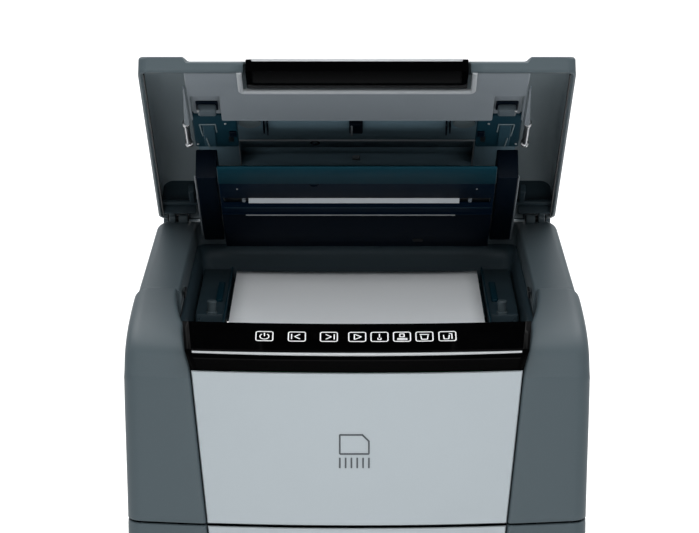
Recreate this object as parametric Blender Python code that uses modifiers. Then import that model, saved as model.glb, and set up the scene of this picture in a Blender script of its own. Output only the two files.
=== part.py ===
"""Deskside auto-feed paper shredder, modelled at real size with its lid open.

Metres, +Z up. The origin is on the floor under the middle of the machine, and the front faces -Y.
The cutter head (z above SEAM_Z) holds the paper tray, the cutters and their gear train. The cabinet
below it holds the pull-out bin. The lid turns on two pins at the rear of the deck.
"""
import math

import bmesh
import bpy
from mathutils import Matrix, Vector

# ---------------------------------------------------------------- driving dimensions
HALF_WIDTH = 0.1770        # outer face of the front side covers
HALF_SHELL = 0.1748        # outer face of the head shell and the cabinet sides
REAR_Y = 0.1848            # rear face
SEAM_Z = 0.4000            # joint between the cutter head and the bin front
DECK_Z = 0.5500            # top of the head
BASE_Z = 0.0450            # underside of the base plate
WALL = 0.0030              # moulded wall thickness
GAP = 0.0004               # clearance between touching pieces
INNER_RETURN = 0.0065      # depth of a front cover's wall beside the centre panels

FRONT_Y = -0.1845          # front face at the seam, on the centre line
FRONT_BOW_RADIUS = 1.20    # plan radius of the bowed front
BAND_Z = 0.5210            # lower edge of the black control panel
COVER_REAR_Y = -0.0530     # where the front side covers begin

TRAY_FLOOR_Z = 0.4960
TRAY_BOTTOM_Z = 0.4935
TRAY_HALF_FLOOR = 0.1350
TRAY_HALF_TOP = 0.1385
TRAY_HALF_OUTER = 0.1410
TRAY_FRONT_Y = -0.1400
TRAY_REAR_Y = 0.1700

PAPER_WIDTH = 0.2100       # A4 sheets, short edge across the machine
PAPER_LENGTH = 0.2970
PAPER_TOP_Z = 0.5080
PAPER_REAR_Y = 0.1600

HINGE_Y = 0.1720
HINGE_Z = 0.5530
LID_OPEN = math.radians(35.0)
LID_LENGTH = 0.3120        # from the hinge axis to the front edge
LID_REAR_HALF = 0.1730
LID_FRONT_HALF = 0.1680
LID_REAR_S = -0.0020
ROOF = ((-0.002, 0.012), (0.006, 0.027), (0.025, 0.040), (0.060, 0.046), (0.130, 0.048),
        (0.200, 0.042), (0.270, 0.028), (0.300, 0.018), (0.312, 0.012))
SLOT_S = 0.1120            # manual feed slot, distance from the hinge axis
SLOT_HALF = 0.1150
INLAY_HALF = 0.1250
PLATE_T = -0.0250          # upper face of the pressure plate, under the lid's rim
PLATE_REAR_S = 0.0040      # rear edge of the pressure plate
PLATE_FRONT_S = 0.1830     # front edge of the pressure plate
PLATE_RISE = 0.0015        # how far the plate's front edge stands above its rear edge
PLATE_HALF = 0.1136

MODULE = 0.0015            # gear module
CUTTER_TEETH = 24
IDLER_TEETH = 36
PINION_TEETH = 12
NIP_Y = 0.0200             # vertical plane between the two cutters
CUTTER_Z = 0.4400
CUTTER_SPACING = MODULE * CUTTER_TEETH
CUTTER_RADIUS = 0.0220
CUTTER_DISCS = 12
DISC_PITCH = 0.0180
ROLLER_OFFSET = 0.0300     # feed roller axis from the nip plane
ROLLER_RADIUS = 0.0120
SHAFT_RADIUS = 0.0040
BORE_RADIUS = 0.0045
GEAR_X = 0.1490            # middle of the gear plane
GEAR_WIDTH = 0.0080
END_PLATE_X = 0.1260

BIN_HALF = 0.1660
BIN_FRONT_Y = -0.1600
BIN_REAR_Y = 0.1700
BIN_TOP_Z = 0.3850
BIN_WALL = 0.0025

CASTOR_X = 0.1400
CASTOR_Y = 0.1400
WHEEL_RADIUS = 0.0180
WHEEL_TRAIL = 0.0100

SIDES = (("l", -1.0), ("r", 1.0))

FINISHES = {                # base colour, roughness, metallic
    "slate": ((0.085, 0.105, 0.115), 0.55, 0.0),
    "frame_grey": ((0.16, 0.17, 0.18), 0.55, 0.0),
    "silver": ((0.48, 0.50, 0.52), 0.40, 0.3),
    "black_gloss": ((0.008, 0.008, 0.009), 0.12, 0.0),
    "teal": ((0.018, 0.035, 0.045), 0.50, 0.0),
    "steel": ((0.55, 0.56, 0.57), 0.30, 1.0),
    "nylon": ((0.75, 0.74, 0.70), 0.50, 0.0),
    "paper": ((0.86, 0.87, 0.88), 0.80, 0.0),
    "rubber": ((0.02, 0.02, 0.02), 0.80, 0.0),
    "board": ((0.02, 0.14, 0.06), 0.45, 0.0),
    "window": ((0.25, 0.28, 0.30), 0.10, 0.0),
}


# ---------------------------------------------------------------- modelling helpers
def new_collection(name):
    """Makes a collection under the scene."""
    collection = bpy.data.collections.new(name)
    bpy.context.scene.collection.children.link(collection)
    return collection


def paint(obj, finish):
    """Gives an object its own material from the finish table."""
    colour, roughness, metallic = FINISHES[finish]
    material = bpy.data.materials.new(obj.name)
    material.use_nodes = True
    shader = material.node_tree.nodes["Principled BSDF"]
    shader.inputs["Base Color"].default_value = (*colour, 1.0)
    shader.inputs["Roughness"].default_value = roughness
    shader.inputs["Metallic"].default_value = metallic
    obj.data.materials.clear()
    obj.data.materials.append(material)


def add_mesh(name, bm, finish, parent=None):
    """Turns a bmesh into a named object of the shredder, or into a cutter when finish is None."""
    mesh = bpy.data.meshes.new(name)
    bm.to_mesh(mesh)
    bm.free()
    obj = bpy.data.objects.new(name, mesh)
    obj.parent = parent
    if finish is None:
        CUTTERS.objects.link(obj)
        obj.hide_render = True
        obj.display_type = "WIRE"
    else:
        PARTS.objects.link(obj)
        paint(obj, finish)
    return obj


def box(name, low, high, finish=None, parent=None):
    """A box between two corners."""
    bm = bmesh.new()
    bmesh.ops.create_cube(bm, size=1.0)
    size = Vector(high) - Vector(low)
    bmesh.ops.scale(bm, vec=size, verts=bm.verts)
    bmesh.ops.translate(bm, vec=(Vector(high) + Vector(low)) / 2, verts=bm.verts)
    return add_mesh(name, bm, finish, parent)


def rod(name, low, high, radius, finish=None, parent=None, sides=16):
    """A cylinder between the middles of its two ends."""
    start = Vector(low)
    run = Vector(high) - start
    turn = Vector((0, 0, 1)).rotation_difference(run).to_matrix().to_4x4()
    bm = bmesh.new()
    bmesh.ops.create_cone(bm, cap_ends=True, segments=sides, radius1=radius, radius2=radius,
                          depth=run.length, matrix=Matrix.Translation(start + run / 2) @ turn)
    obj = add_mesh(name, bm, finish, parent)
    obj.data.shade_smooth()
    obj.data.set_sharp_from_angle(angle=math.radians(40))
    return obj


PLANE_TURNS = {"XY": Matrix.Identity(4),
               "XZ": Matrix.Rotation(math.pi / 2, 4, "X"),
               "YZ": Matrix.Rotation(math.pi / 2, 4, "Z") @ Matrix.Rotation(math.pi / 2, 4, "X")}
PLANE_NORMALS = {"XY": Vector((0, 0, 1)), "XZ": Vector((0, 1, 0)), "YZ": Vector((1, 0, 0))}


def flat(name, outlines, plane, low, high, finish=None, parent=None):
    """A flat piece: the first outline, less the others as holes, from low to high along the normal."""
    curve = bpy.data.curves.new(name, "CURVE")
    curve.dimensions = "2D"
    curve.fill_mode = "BOTH"
    curve.extrude = (high - low) / 2
    for outline in outlines:
        spline = curve.splines.new("POLY")
        spline.points.add(len(outline) - 1)
        for point, (across, up) in zip(spline.points, outline):
            point.co = (across, up, 0.0, 1.0)
        spline.use_cyclic_u = True
    source = bpy.data.objects.new(name, curve)
    bpy.context.scene.collection.objects.link(source)
    graph = bpy.context.evaluated_depsgraph_get()
    mesh = bpy.data.meshes.new_from_object(source.evaluated_get(graph))
    bpy.data.objects.remove(source)
    bm = bmesh.new()
    bm.from_mesh(mesh)
    bpy.data.meshes.remove(mesh)
    bmesh.ops.remove_doubles(bm, verts=bm.verts, dist=1e-5)
    if len(outlines) == 1:
        bmesh.ops.dissolve_limit(bm, angle_limit=0.001, verts=bm.verts, edges=bm.edges)
    middle = PLANE_NORMALS[plane] * (low + high) / 2
    bm.transform(Matrix.Translation(middle) @ PLANE_TURNS[plane])
    bmesh.ops.recalc_face_normals(bm, faces=bm.faces)
    if bm.calc_volume(signed=True) < 0:
        bmesh.ops.reverse_faces(bm, faces=bm.faces)
    return add_mesh(name, bm, finish, parent)


def boolean(target, operation, tools):
    """Joins tools to the target or cuts them from it, and hides them among the cutters."""
    for tool in tools:
        modifier = target.modifiers.new(tool.name, "BOOLEAN")
        modifier.operation = operation
        modifier.solver = "EXACT"
        modifier.object = tool
    return target


def cut(target, *tools):
    """Cuts the tools out of the target."""
    return boolean(target, "DIFFERENCE", tools)


def fuse(target, *tools):
    """Joins the tools to the target as one body."""
    return boolean(target, "UNION", tools)


def round_edges(obj, width, segments=2, angle=40.0):
    """Rounds the edges sharper than the angle."""
    bevel = obj.modifiers.new("rounding", "BEVEL")
    bevel.width = width
    bevel.segments = segments
    bevel.limit_method = "ANGLE"
    bevel.angle_limit = math.radians(angle)
    return obj


def round_long_edges(obj, width, segments, half):
    """Rounds only the edges that run along the two upper sides of a lid piece."""
    weights = obj.data.attributes.new("bevel_weight_edge", "FLOAT", "EDGE")
    for edge in obj.data.edges:
        ends = [obj.data.vertices[index].co for index in edge.vertices]
        beside = min(abs(end.x) for end in ends) > half * 0.9
        above = min(end.z for end in ends) > 0.0
        weights.data[edge.index].value = float(beside and above)
    bevel = obj.modifiers.new("rounding", "BEVEL")
    bevel.width = width
    bevel.segments = segments
    bevel.limit_method = "WEIGHT"
    return obj


def set_origin(obj, origin):
    """Moves an object's origin without moving its shape."""
    obj.data.transform(Matrix.Translation(-Vector(origin)))
    obj.location = origin
    return obj


def front_y(z):
    """The front face's y on the centre line: fullest at the seam, easing back above and below it."""
    if z > SEAM_Z:
        return FRONT_Y + 0.0040 * ((z - SEAM_Z) / (BAND_Z - SEAM_Z)) ** 2
    return FRONT_Y + 0.0060 * ((SEAM_Z - z) / (SEAM_Z - BASE_Z)) ** 2


def bow(obj, lean=True, slices=8):
    """Bends a piece built at y = 0 on to the bowed, leaning front face."""
    bm = bmesh.new()
    bm.from_mesh(obj.data)
    reach = max(abs(vert.co.x) for vert in bm.verts)
    for step in range(1, slices):
        cut_x = -reach + 2 * reach * step / slices
        everything = bm.verts[:] + bm.edges[:] + bm.faces[:]
        bmesh.ops.bisect_plane(bm, geom=everything, plane_co=(cut_x, 0, 0), plane_no=(1, 0, 0))
    for vert in bm.verts:
        vert.co.y += vert.co.x ** 2 / (2 * FRONT_BOW_RADIUS)
        if lean:
            vert.co.y += front_y(vert.co.z)
    bm.to_mesh(obj.data)
    bm.free()
    return obj


def mirror_points(points):
    """An outline given on the +X side, closed by its mirror image."""
    return list(points) + [(-x, y) for x, y in reversed(points)]


def rounded(low_u, high_u, low_v, high_v, radius, steps=4):
    """A rectangle with round corners."""
    points = []
    corners = ((high_u - radius, low_v + radius, -90), (high_u - radius, high_v - radius, 0),
               (low_u + radius, high_v - radius, 90), (low_u + radius, low_v + radius, 180))
    for centre_u, centre_v, start in corners:
        for step in range(steps + 1):
            angle = math.radians(start + 90 * step / steps)
            points.append((centre_u + radius * math.cos(angle), centre_v + radius * math.sin(angle)))
    return points


def circle(centre_u, centre_v, radius, sides=16):
    """A round hole's outline."""
    turns = [2 * math.pi * step / sides for step in range(sides)]
    return [(centre_u + radius * math.cos(turn), centre_v + radius * math.sin(turn)) for turn in turns]


# ---------------------------------------------------------------- cutter head casing
COVER_PROFILE = [(COVER_REAR_Y, 0.5515), (-0.090, 0.5495), (-0.140, 0.5435), (-0.165, 0.5345),
                 (-0.176, 0.5180)]


def inner_edge(z):
    """Half-width of the silver centre at a height: the side covers' inner edge tapers downwards."""
    return 0.1148 + (z - SEAM_Z) * (0.1258 - 0.1148) / (BAND_Z - SEAM_Z)


def make_head_shell():
    """Side and rear walls of the head with the deck around the tray and the hinge blocks."""
    outline = rounded(-HALF_SHELL, HALF_SHELL, COVER_REAR_Y - 0.06, REAR_Y, 0.022)
    shell = flat("head_shell", [outline], "XY", SEAM_Z + GAP, DECK_Z, "slate")
    round_edges(shell, 0.005, 2)
    inside = rounded(-HALF_SHELL + WALL, HALF_SHELL - WALL, -0.2, REAR_Y - WALL, 0.019)
    cavity = flat("head_cavity", [inside], "XY", SEAM_Z - 0.01, DECK_Z - WALL)
    well = box("head_well", (-TRAY_HALF_OUTER - GAP, -0.25, 0.5), (TRAY_HALF_OUTER + GAP, 0.1733, 0.6))
    front = box("head_front", (-0.2, -0.25, 0.38), (0.2, COVER_REAR_Y + GAP, 0.6))
    cut(shell, cavity, well, front)
    for side, sign in SIDES:
        ends = sorted((sign * 0.1475, sign * 0.1555))
        block = box(f"hinge_block_{side}", (ends[0], 0.1640, 0.5480), (ends[1], 0.1800, 0.5585))
        fuse(shell, block)
        pocket = sorted((sign * 0.1565, sign * 0.1665))
        cut(shell, box(f"ear_pocket_{side}", (pocket[0], 0.1630, 0.54), (pocket[1], 0.1810, 0.56)),
            rod(f"pin_bore_{side}", (sign * 0.140, HINGE_Y, HINGE_Z), (sign * 0.158, HINGE_Y, HINGE_Z),
                0.0034))
        pin = rod(f"hinge_pin_{side}", (sign * 0.1470, HINGE_Y, HINGE_Z),
                  (sign * 0.1650, HINGE_Y, HINGE_Z), 0.0029, "steel")
        set_origin(pin, (sign * 0.156, HINGE_Y, HINGE_Z))
    for row in range(5):
        low_z = 0.436 + row * 0.014
        high_z = low_z + 0.006
        cut(shell, box(f"vent_{row}", (-0.120, REAR_Y - 0.01, low_z), (-0.030, REAR_Y + 0.01, high_z)))
    cut(shell, box("inlet_hole", (0.0498, REAR_Y - 0.01, 0.4298), (0.0802, REAR_Y + 0.01, 0.4552)),
        box("switch_hole", (0.0908, REAR_Y - 0.01, 0.4298), (0.1112, REAR_Y + 0.01, 0.4552)))


def make_side_cover(side, sign):
    """A proud cover over one front corner of the head, open to the rear and to the centre."""
    front = [(front_y(BAND_Z - 0.01 - 0.03 * step), BAND_Z - 0.01 - 0.03 * step) for step in range(5)]
    profile = COVER_PROFILE + front + [(FRONT_Y, 0.370), (-0.02, 0.370), (-0.02, 0.5520)]
    inner = [(-0.0, 0.5485), (-0.090, 0.5465), (-0.139, 0.5405), (-0.1625, 0.5320), (-0.1730, 0.5170),
             (FRONT_Y + WALL, 0.420), (FRONT_Y + WALL, 0.360), (0.0, 0.360)]
    span = sorted((sign * 0.080, sign * HALF_WIDTH))
    cover = flat(f"side_cover_{side}", [profile], "YZ", *span, "slate")
    round_edges(cover, 0.010, 3, 60)
    hollow_span = sorted((sign * 0.070, sign * (HALF_WIDTH - WALL + 0.0011)))
    hollow = flat(f"cover_hollow_{side}", [inner], "YZ", *hollow_span)
    for vert in hollow.data.vertices:
        if abs(vert.co.x) < 0.1:
            vert.co.y += INNER_RETURN
    keep_outline = [(sign * inner_edge(SEAM_Z), SEAM_Z + GAP), (sign * inner_edge(BAND_Z), BAND_Z),
                    (sign * 0.1345, 0.550), (sign * 0.1345, 0.6), (sign * 0.2, 0.6),
                    (sign * 0.2, SEAM_Z + GAP)]
    keep = flat(f"cover_keep_{side}", [keep_outline], "XZ", -0.25, COVER_REAR_Y)
    cut(cover, hollow)
    boolean(cover, "INTERSECT", [keep])


def make_front():
    """Black control panel, its silver trim line, and the silver front panel under it."""
    half = 0.1335
    slope = [(-0.1435, 0.5492), (-0.1796, 0.5362), (-0.1803, BAND_Z + GAP),
             (-0.1773, BAND_Z + GAP), (-0.1766, 0.5340), (-0.1435, 0.5462)]
    panel = flat("control_panel", [slope], "YZ", -half, half, "black_gloss")
    wedge_points = [(inner_edge(BAND_Z) - GAP, 0.5), (inner_edge(BAND_Z) - GAP, BAND_Z),
                    (0.1341, 0.550), (0.1341, 0.56)]
    wedge = flat("panel_wedge", [mirror_points(wedge_points)], "XZ", -0.25, -0.10)
    bow(panel, lean=False)
    boolean(panel, "INTERSECT", [wedge])
    trim = box("trim_strip", (-0.124, -0.1825, 0.5350), (0.124, -0.1808, 0.5364), "silver")
    bow(trim, lean=False)
    low_half = inner_edge(SEAM_Z) - GAP
    high_half = inner_edge(BAND_Z) - GAP
    outline = [(-low_half, SEAM_Z + GAP), (low_half, SEAM_Z + GAP),
               (high_half, BAND_Z), (-high_half, BAND_Z)]
    front = flat("front_panel", [outline], "XZ", 0.0, WALL, "silver")
    bow(front)
    board = box("control_board", (-0.095, -0.172, 0.5180), (0.095, -0.148, 0.5196), "board")
    round_edges(board, 0.0003, 1)


def make_tray():
    """The paper well with its side ledges and posts, and the stack of sheets it holds."""
    side_view = [(TRAY_FRONT_Y - BIN_WALL, TRAY_BOTTOM_Z), (TRAY_REAR_Y + BIN_WALL, TRAY_BOTTOM_Z),
                 (TRAY_REAR_Y + BIN_WALL, DECK_Z - GAP), (-0.050, DECK_Z - GAP), (-0.056, 0.5400),
                 (TRAY_FRONT_Y - BIN_WALL, 0.5360)]
    tray = flat("paper_tray", [side_view], "YZ", -TRAY_HALF_OUTER, TRAY_HALF_OUTER, "slate")
    well_outline = mirror_points([(TRAY_HALF_FLOOR, TRAY_FLOOR_Z), (TRAY_HALF_TOP, 0.56)])
    cut(tray, flat("tray_well", [well_outline], "XZ", TRAY_FRONT_Y, TRAY_REAR_Y))
    for name, middle, half in (("front", NIP_Y - ROLLER_OFFSET, 0.0095),
                               ("rear", NIP_Y + ROLLER_OFFSET, 0.0095), ("nip", NIP_Y, 0.0045)):
        cut(tray, box(f"tray_slot_{name}", (-0.114, middle - half, 0.48), (0.114, middle + half, 0.50)))
    for side, sign in SIDES:
        ends = sorted((sign * 0.1095, sign * 0.1330))
        ledge = box(f"tray_ledge_{side}", (ends[0], 0.0235, TRAY_FLOOR_Z + GAP),
                    (ends[1], 0.1690, 0.5080), "slate")
        post = rod(f"post_{side}", (sign * 0.120, 0.0280, 0.5070), (sign * 0.120, 0.0280, 0.5190), 0.0036)
        fuse(ledge, post)
    low = (-PAPER_WIDTH / 2, PAPER_REAR_Y - PAPER_LENGTH, TRAY_FLOOR_Z + GAP)
    box("paper_stack", low, (PAPER_WIDTH / 2, PAPER_REAR_Y, PAPER_TOP_Z), "paper")


# ---------------------------------------------------------------- cutters and gear train
def gear(name, teeth, centre_y, centre_z, tooth_angle, low_x, high_x, bore, finish):
    """A straight-cut gear turning about X, with one tooth pointing along tooth_angle."""
    pitch_radius = MODULE * teeth / 2
    flank = ((pitch_radius - 0.0017, 0.00145), (pitch_radius + 0.0012, 0.00045))
    points = []
    for tooth in range(teeth):
        middle = tooth_angle + 2 * math.pi * tooth / teeth
        corners = [(radius, middle - half / radius) for radius, half in flank]
        corners += [(radius, middle + half / radius) for radius, half in reversed(flank)]
        points += [(centre_y + radius * math.cos(turn), centre_z + radius * math.sin(turn))
                   for radius, turn in corners]
    outlines = [points]
    if bore:
        outlines.append(circle(centre_y, centre_z, bore))
    return flat(name, outlines, "YZ", low_x, high_x, finish)


def cutter_profile(offset):
    """Half outline (x, radius) of a shaft with its discs, from one end to the other."""
    points = [(-0.1290, 0.0), (-0.1290, SHAFT_RADIUS)]
    for disc in range(CUTTER_DISCS):
        middle = (disc - (CUTTER_DISCS - 1) / 2) * DISC_PITCH + offset
        half = DISC_PITCH / 4 - 0.0005
        points += [(middle - half, 0.0125), (middle - half, CUTTER_RADIUS),
                   (middle + half, CUTTER_RADIUS), (middle + half, 0.0125)]
    points.insert(2, (-0.1200, SHAFT_RADIUS))
    points.insert(3, (-0.1200, 0.0125))
    return points + [(0.1200, 0.0125), (0.1200, SHAFT_RADIUS), (0.1535, SHAFT_RADIUS), (0.1535, 0.0)]


def turned(name, profile, centre, finish, steps=16):
    """A body turned about X from a half outline of (x, radius) points."""
    bm = bmesh.new()
    verts = [bm.verts.new((radius, 0.0, -x)) for x, radius in profile]
    for start, end in zip(verts, verts[1:]):
        bm.edges.new((start, end))
    obj = add_mesh(name, bm, finish)
    obj.location = centre
    obj.rotation_euler = (0.0, -math.pi / 2, 0.0)
    screw = obj.modifiers.new("turn", "SCREW")
    screw.steps = steps
    screw.render_steps = steps
    screw.use_merge_vertices = True
    screw.merge_threshold = 0.00001
    return obj


def make_end_plate(side, sign, bores):
    """A steel side plate that carries the shafts, with the idlers' stub axles on the driven side."""
    outline = rounded(-0.036, 0.142, SEAM_Z + 0.0036, TRAY_BOTTOM_Z - GAP, 0.008)
    holes = [circle(y, z, BORE_RADIUS) for y, z in bores]
    span = sorted((sign * (END_PLATE_X - 0.0015), sign * (END_PLATE_X + 0.0015)))
    return flat(f"end_plate_{side}", [outline] + holes, "YZ", *span, "steel")


def mesh_angle(direction, tooth_angle, teeth, mate_teeth):
    """The tooth angle of a gear that lies in the given direction and meshes with a placed gear."""
    return (direction + math.pi - (tooth_angle - direction) * teeth / mate_teeth
            - math.pi / mate_teeth)


def train_gear(name, teeth, centre, tooth_angle, bore, finish):
    """A gear in the train's plane, with its origin on its own axis."""
    return gear(name, teeth, *centre, tooth_angle, GEAR_X - GEAR_WIDTH / 2, GEAR_X + GEAR_WIDTH / 2,
                bore, finish)


def make_drive():
    """Two meshed cutters, the gear train from the motor, and the two feed rollers above."""
    rise = math.sqrt(0.045 ** 2 - (ROLLER_OFFSET - CUTTER_SPACING / 2) ** 2)
    lean = math.atan2(rise, ROLLER_OFFSET - CUTTER_SPACING / 2)
    reach = MODULE * (CUTTER_TEETH + PINION_TEETH) / 2
    cutters, feed_idlers, rollers = [], [], []
    for sign in (-1, 1):
        cutters.append((NIP_Y + sign * CUTTER_SPACING / 2, CUTTER_Z))
        feed_idlers.append((cutters[-1][0] + sign * reach * math.cos(lean),
                            CUTTER_Z + reach * math.sin(lean)))
        rollers.append((NIP_Y + sign * ROLLER_OFFSET, CUTTER_Z + rise))
    idler = (cutters[1][0] + MODULE * (CUTTER_TEETH + IDLER_TEETH) / 2, CUTTER_Z)
    pinion = (idler[0] + MODULE * (IDLER_TEETH + PINION_TEETH) / 2, CUTTER_Z)
    make_end_plate("l", -1.0, cutters + rollers)
    plate = make_end_plate("r", 1.0, cutters + rollers + [pinion])
    for number, (y, z) in enumerate([idler] + feed_idlers):
        fuse(plate, rod(f"stub_{number}", (END_PLATE_X, y, z), (0.1535, y, z), SHAFT_RADIUS))
    tooth = 0.0
    for index, letter in enumerate("ab"):
        if index:
            tooth = mesh_angle(0.0, tooth, CUTTER_TEETH, CUTTER_TEETH)
        offset = (index - 0.5) * DISC_PITCH / 2
        turned(f"cutter_{letter}", cutter_profile(offset), (0.0, *cutters[index]), "steel")
        wheel = train_gear(f"cutter_gear_{letter}", CUTTER_TEETH, cutters[index], tooth,
                           BORE_RADIUS, "steel")
        set_origin(wheel, (GEAR_X, *cutters[index]))
        make_feed(letter, math.pi - lean if index == 0 else lean, feed_idlers[index], rollers[index], tooth)
    tooth = mesh_angle(0.0, tooth, CUTTER_TEETH, IDLER_TEETH)
    set_origin(train_gear("idler_gear", IDLER_TEETH, idler, tooth, BORE_RADIUS, "nylon"), (GEAR_X, *idler))
    tooth = mesh_angle(0.0, tooth, IDLER_TEETH, PINION_TEETH)
    wheel = train_gear("motor_pinion", PINION_TEETH, pinion, tooth, 0.0, "steel")
    fuse(wheel, rod("motor_shaft", (0.1170, *pinion), (GEAR_X, *pinion), SHAFT_RADIUS))
    set_origin(wheel, (GEAR_X, *pinion))
    motor = rod("motor", (0.0200, *pinion), (0.1160, *pinion), 0.0290, "steel", sides=24)
    round_edges(motor, 0.003, 2, 60)


def make_feed(letter, direction, idler, roller, cutter_tooth):
    """A small idler from a cutter gear up to one feed roller's own gear."""
    tooth = mesh_angle(direction, cutter_tooth, CUTTER_TEETH, PINION_TEETH)
    wheel = train_gear(f"feed_idler_{letter}", PINION_TEETH, idler, tooth, BORE_RADIUS, "nylon")
    set_origin(wheel, (GEAR_X, *idler))
    tooth = mesh_angle(direction, tooth, PINION_TEETH, PINION_TEETH)
    tyre = train_gear(f"feed_roller_{letter}", PINION_TEETH, roller, tooth, 0.0, "rubber")
    fuse(tyre, rod(f"feed_shaft_{letter}", (-0.1290, *roller), (GEAR_X, *roller), SHAFT_RADIUS))
    for number in range(3):
        middle = (number - 1) * 0.070
        fuse(tyre, rod(f"feed_tyre_{letter}_{number}", (middle - 0.020, *roller), (middle + 0.020, *roller),
                       ROLLER_RADIUS, sides=20))
    set_origin(tyre, (0.0, *roller))


def make_electrics():
    """Mains inlet and on/off rocker in the rear wall."""
    inlet = box("mains_inlet", (0.0502, REAR_Y - 0.018, 0.4302), (0.0798, REAR_Y - GAP, 0.4548),
                "black_gloss")
    cut(inlet, box("inlet_mouth", (0.0540, REAR_Y - 0.014, 0.4340), (0.0760, REAR_Y + 0.01, 0.4510)))
    rocker = box("rocker_switch", (0.0920, REAR_Y - 0.0085, 0.4320), (0.1100, REAR_Y - 0.0012, 0.4530),
                 "black_gloss")
    round_edges(rocker, 0.001, 1)
    set_origin(rocker, (0.1010, REAR_Y - 0.0085, 0.4425))


# ---------------------------------------------------------------- lid
def roof(s, inset=0.0):
    """Height of the lid's outer roof above its rim at a distance s from the hinge axis."""
    for (s0, t0), (s1, t1) in zip(ROOF, ROOF[1:]):
        if s <= s1:
            return t0 + (t1 - t0) * (s - s0) / (s1 - s0) - inset
    return ROOF[-1][1] - inset


def taper(obj):
    """Narrows a full-width lid piece towards its front edge."""
    for vert in obj.data.vertices:
        vert.co.x *= 1 + (LID_FRONT_HALF / LID_REAR_HALF - 1) * (-vert.co.y) / LID_LENGTH
    return obj


def lid_plan(points):
    """Plan points given as (x, s) in the lid's own frame, where s runs forward from the hinge."""
    return [(x, -s) for x, s in points]


def lid_box(name, x_span, s_span, t_span, finish=None, parent=None):
    """A box in the lid's own frame."""
    low_x, high_x = sorted(x_span)
    return box(name, (low_x, -s_span[1], t_span[0]), (high_x, -s_span[0], t_span[1]), finish, parent)


def make_lid_shell(lid):
    """The domed lid moulding, with its hinge ears, front notch and manual feed slot."""
    outer = [(-s, t) for s, t in ROOF] + [(-LID_LENGTH, -0.030), (-LID_REAR_S, -0.030)]
    shell = taper(flat("lid_shell", [outer], "YZ", -LID_REAR_HALF, LID_REAR_HALF, "slate", lid))
    round_long_edges(shell, 0.014, 3, LID_FRONT_HALF)
    inner_s = [0.001, 0.008, 0.026, 0.060, 0.130, 0.200, 0.270, 0.300, LID_LENGTH - WALL]
    inner = [(-s, roof(s, WALL + 0.001)) for s in inner_s]
    inner += [(-LID_LENGTH + WALL, -0.040), (-0.001, -0.040)]
    half = LID_REAR_HALF - WALL
    cavity = taper(flat("lid_cavity", [inner], "YZ", -half, half, None, lid))
    round_long_edges(cavity, 0.012, 3, LID_FRONT_HALF)
    cut(shell, cavity, lid_box("lid_underside", (-0.2, 0.2), (-0.05, 0.35), (-0.06, 0.0), None, lid))
    for side, sign in SIDES:
        cut(shell, lid_box(f"block_notch_{side}", (sign * 0.1455, sign * 0.1668), (-0.02, 0.0105),
                           (-0.01, 0.0125), None, lid))
        ear_box = lid_box(f"ear_{side}", (sign * 0.1580, sign * 0.1640), (0.0030, 0.0100),
                          (-0.0010, 0.0200), None, lid)
        ear = rod(f"ear_eye_{side}", (sign * 0.1580, 0, 0), (sign * 0.1640, 0, 0), 0.0065, None, lid)
        fuse(shell, ear_box, ear)
        bore = rod(f"ear_bore_{side}", (sign * 0.150, 0, 0), (sign * 0.1670, 0, 0), 0.0034, None, lid)
        cut(shell, bore)
    cut(shell, lid_box("lip_notch", (-0.0870, 0.0870), (0.2700, 0.33), (-0.01, 0.0085), None, lid),
        lid_box("feed_slot", (-SLOT_HALF, SLOT_HALF), (SLOT_S - 0.0045, SLOT_S + 0.0045), (0.02, 0.08),
                None, lid))


def make_lid_trim(lid):
    """The gloss inlay on the roof, the gloss lip in the front notch, and the grey inner frame."""
    stations = [0.060, 0.095, 0.130, 0.165, 0.200, 0.270, 0.300, LID_LENGTH]
    upper = [(-s, roof(s) + 0.0022) for s in stations]
    lower = [(-s, roof(s) + GAP) for s in reversed(stations)]
    inlay = flat("lid_inlay", [upper + lower], "YZ", -INLAY_HALF, INLAY_HALF, "black_gloss", lid)
    cut(inlay, lid_box("inlay_slot", (-SLOT_HALF, SLOT_HALF), (SLOT_S - 0.0045, SLOT_S + 0.0045),
                       (0.02, 0.08), None, lid))
    lip = lid_box("lid_lip", (-0.0865, 0.0865), (0.2745, 0.3118), (0.0004, 0.0080), "black_gloss", lid)
    round_edges(lip, 0.0015, 2)
    right = [(0.1070, 0.2160), (0.1070, 0.2640), (0.1310, 0.2640), (0.1310, 0.2160),
             (0.1330, 0.2160), (0.1330, 0.3085), (0.0910, 0.3085), (0.0910, 0.2740)]
    flat("lid_frame", [lid_plan(mirror_points(right))], "XY", 0.0, 0.0025, "frame_grey", lid)


def make_lid_works(lid):
    """Ceiling liner, plate brackets, catches and spring pins inside the lid."""
    liner = lid_box("lid_liner", (-0.1330, 0.1330), (0.0500, 0.1460), (0.0300, 0.0325), "teal", lid)
    cut(liner, lid_box("liner_slot", (-0.1180, 0.1180), (0.0980, 0.1260), (0.02, 0.04), None, lid))
    for side, sign in SIDES:
        bracket = lid_box(f"plate_bracket_{side}", (sign * 0.0950, sign * 0.1320), (0.1520, 0.2150),
                          (0.0040, 0.0100), "teal", lid)
        cut(bracket, lid_box(f"bracket_slot_{side}", (sign * 0.1050, sign * 0.1200), (0.1700, 0.1960),
                             (-0.01, 0.02), None, lid))
        catch = lid_box(f"lid_catch_{side}", (sign * 0.1100, sign * 0.1270), (0.2270, 0.2510),
                        (-0.0020, 0.0080), "frame_grey", lid)
        round_edges(catch, 0.0012, 2)
        rod(f"spring_pin_{side}", (sign * 0.1365, -0.2050, 0.0040), (sign * 0.1365, -0.1600, 0.0040),
            0.0025, "steel", lid)


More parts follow.
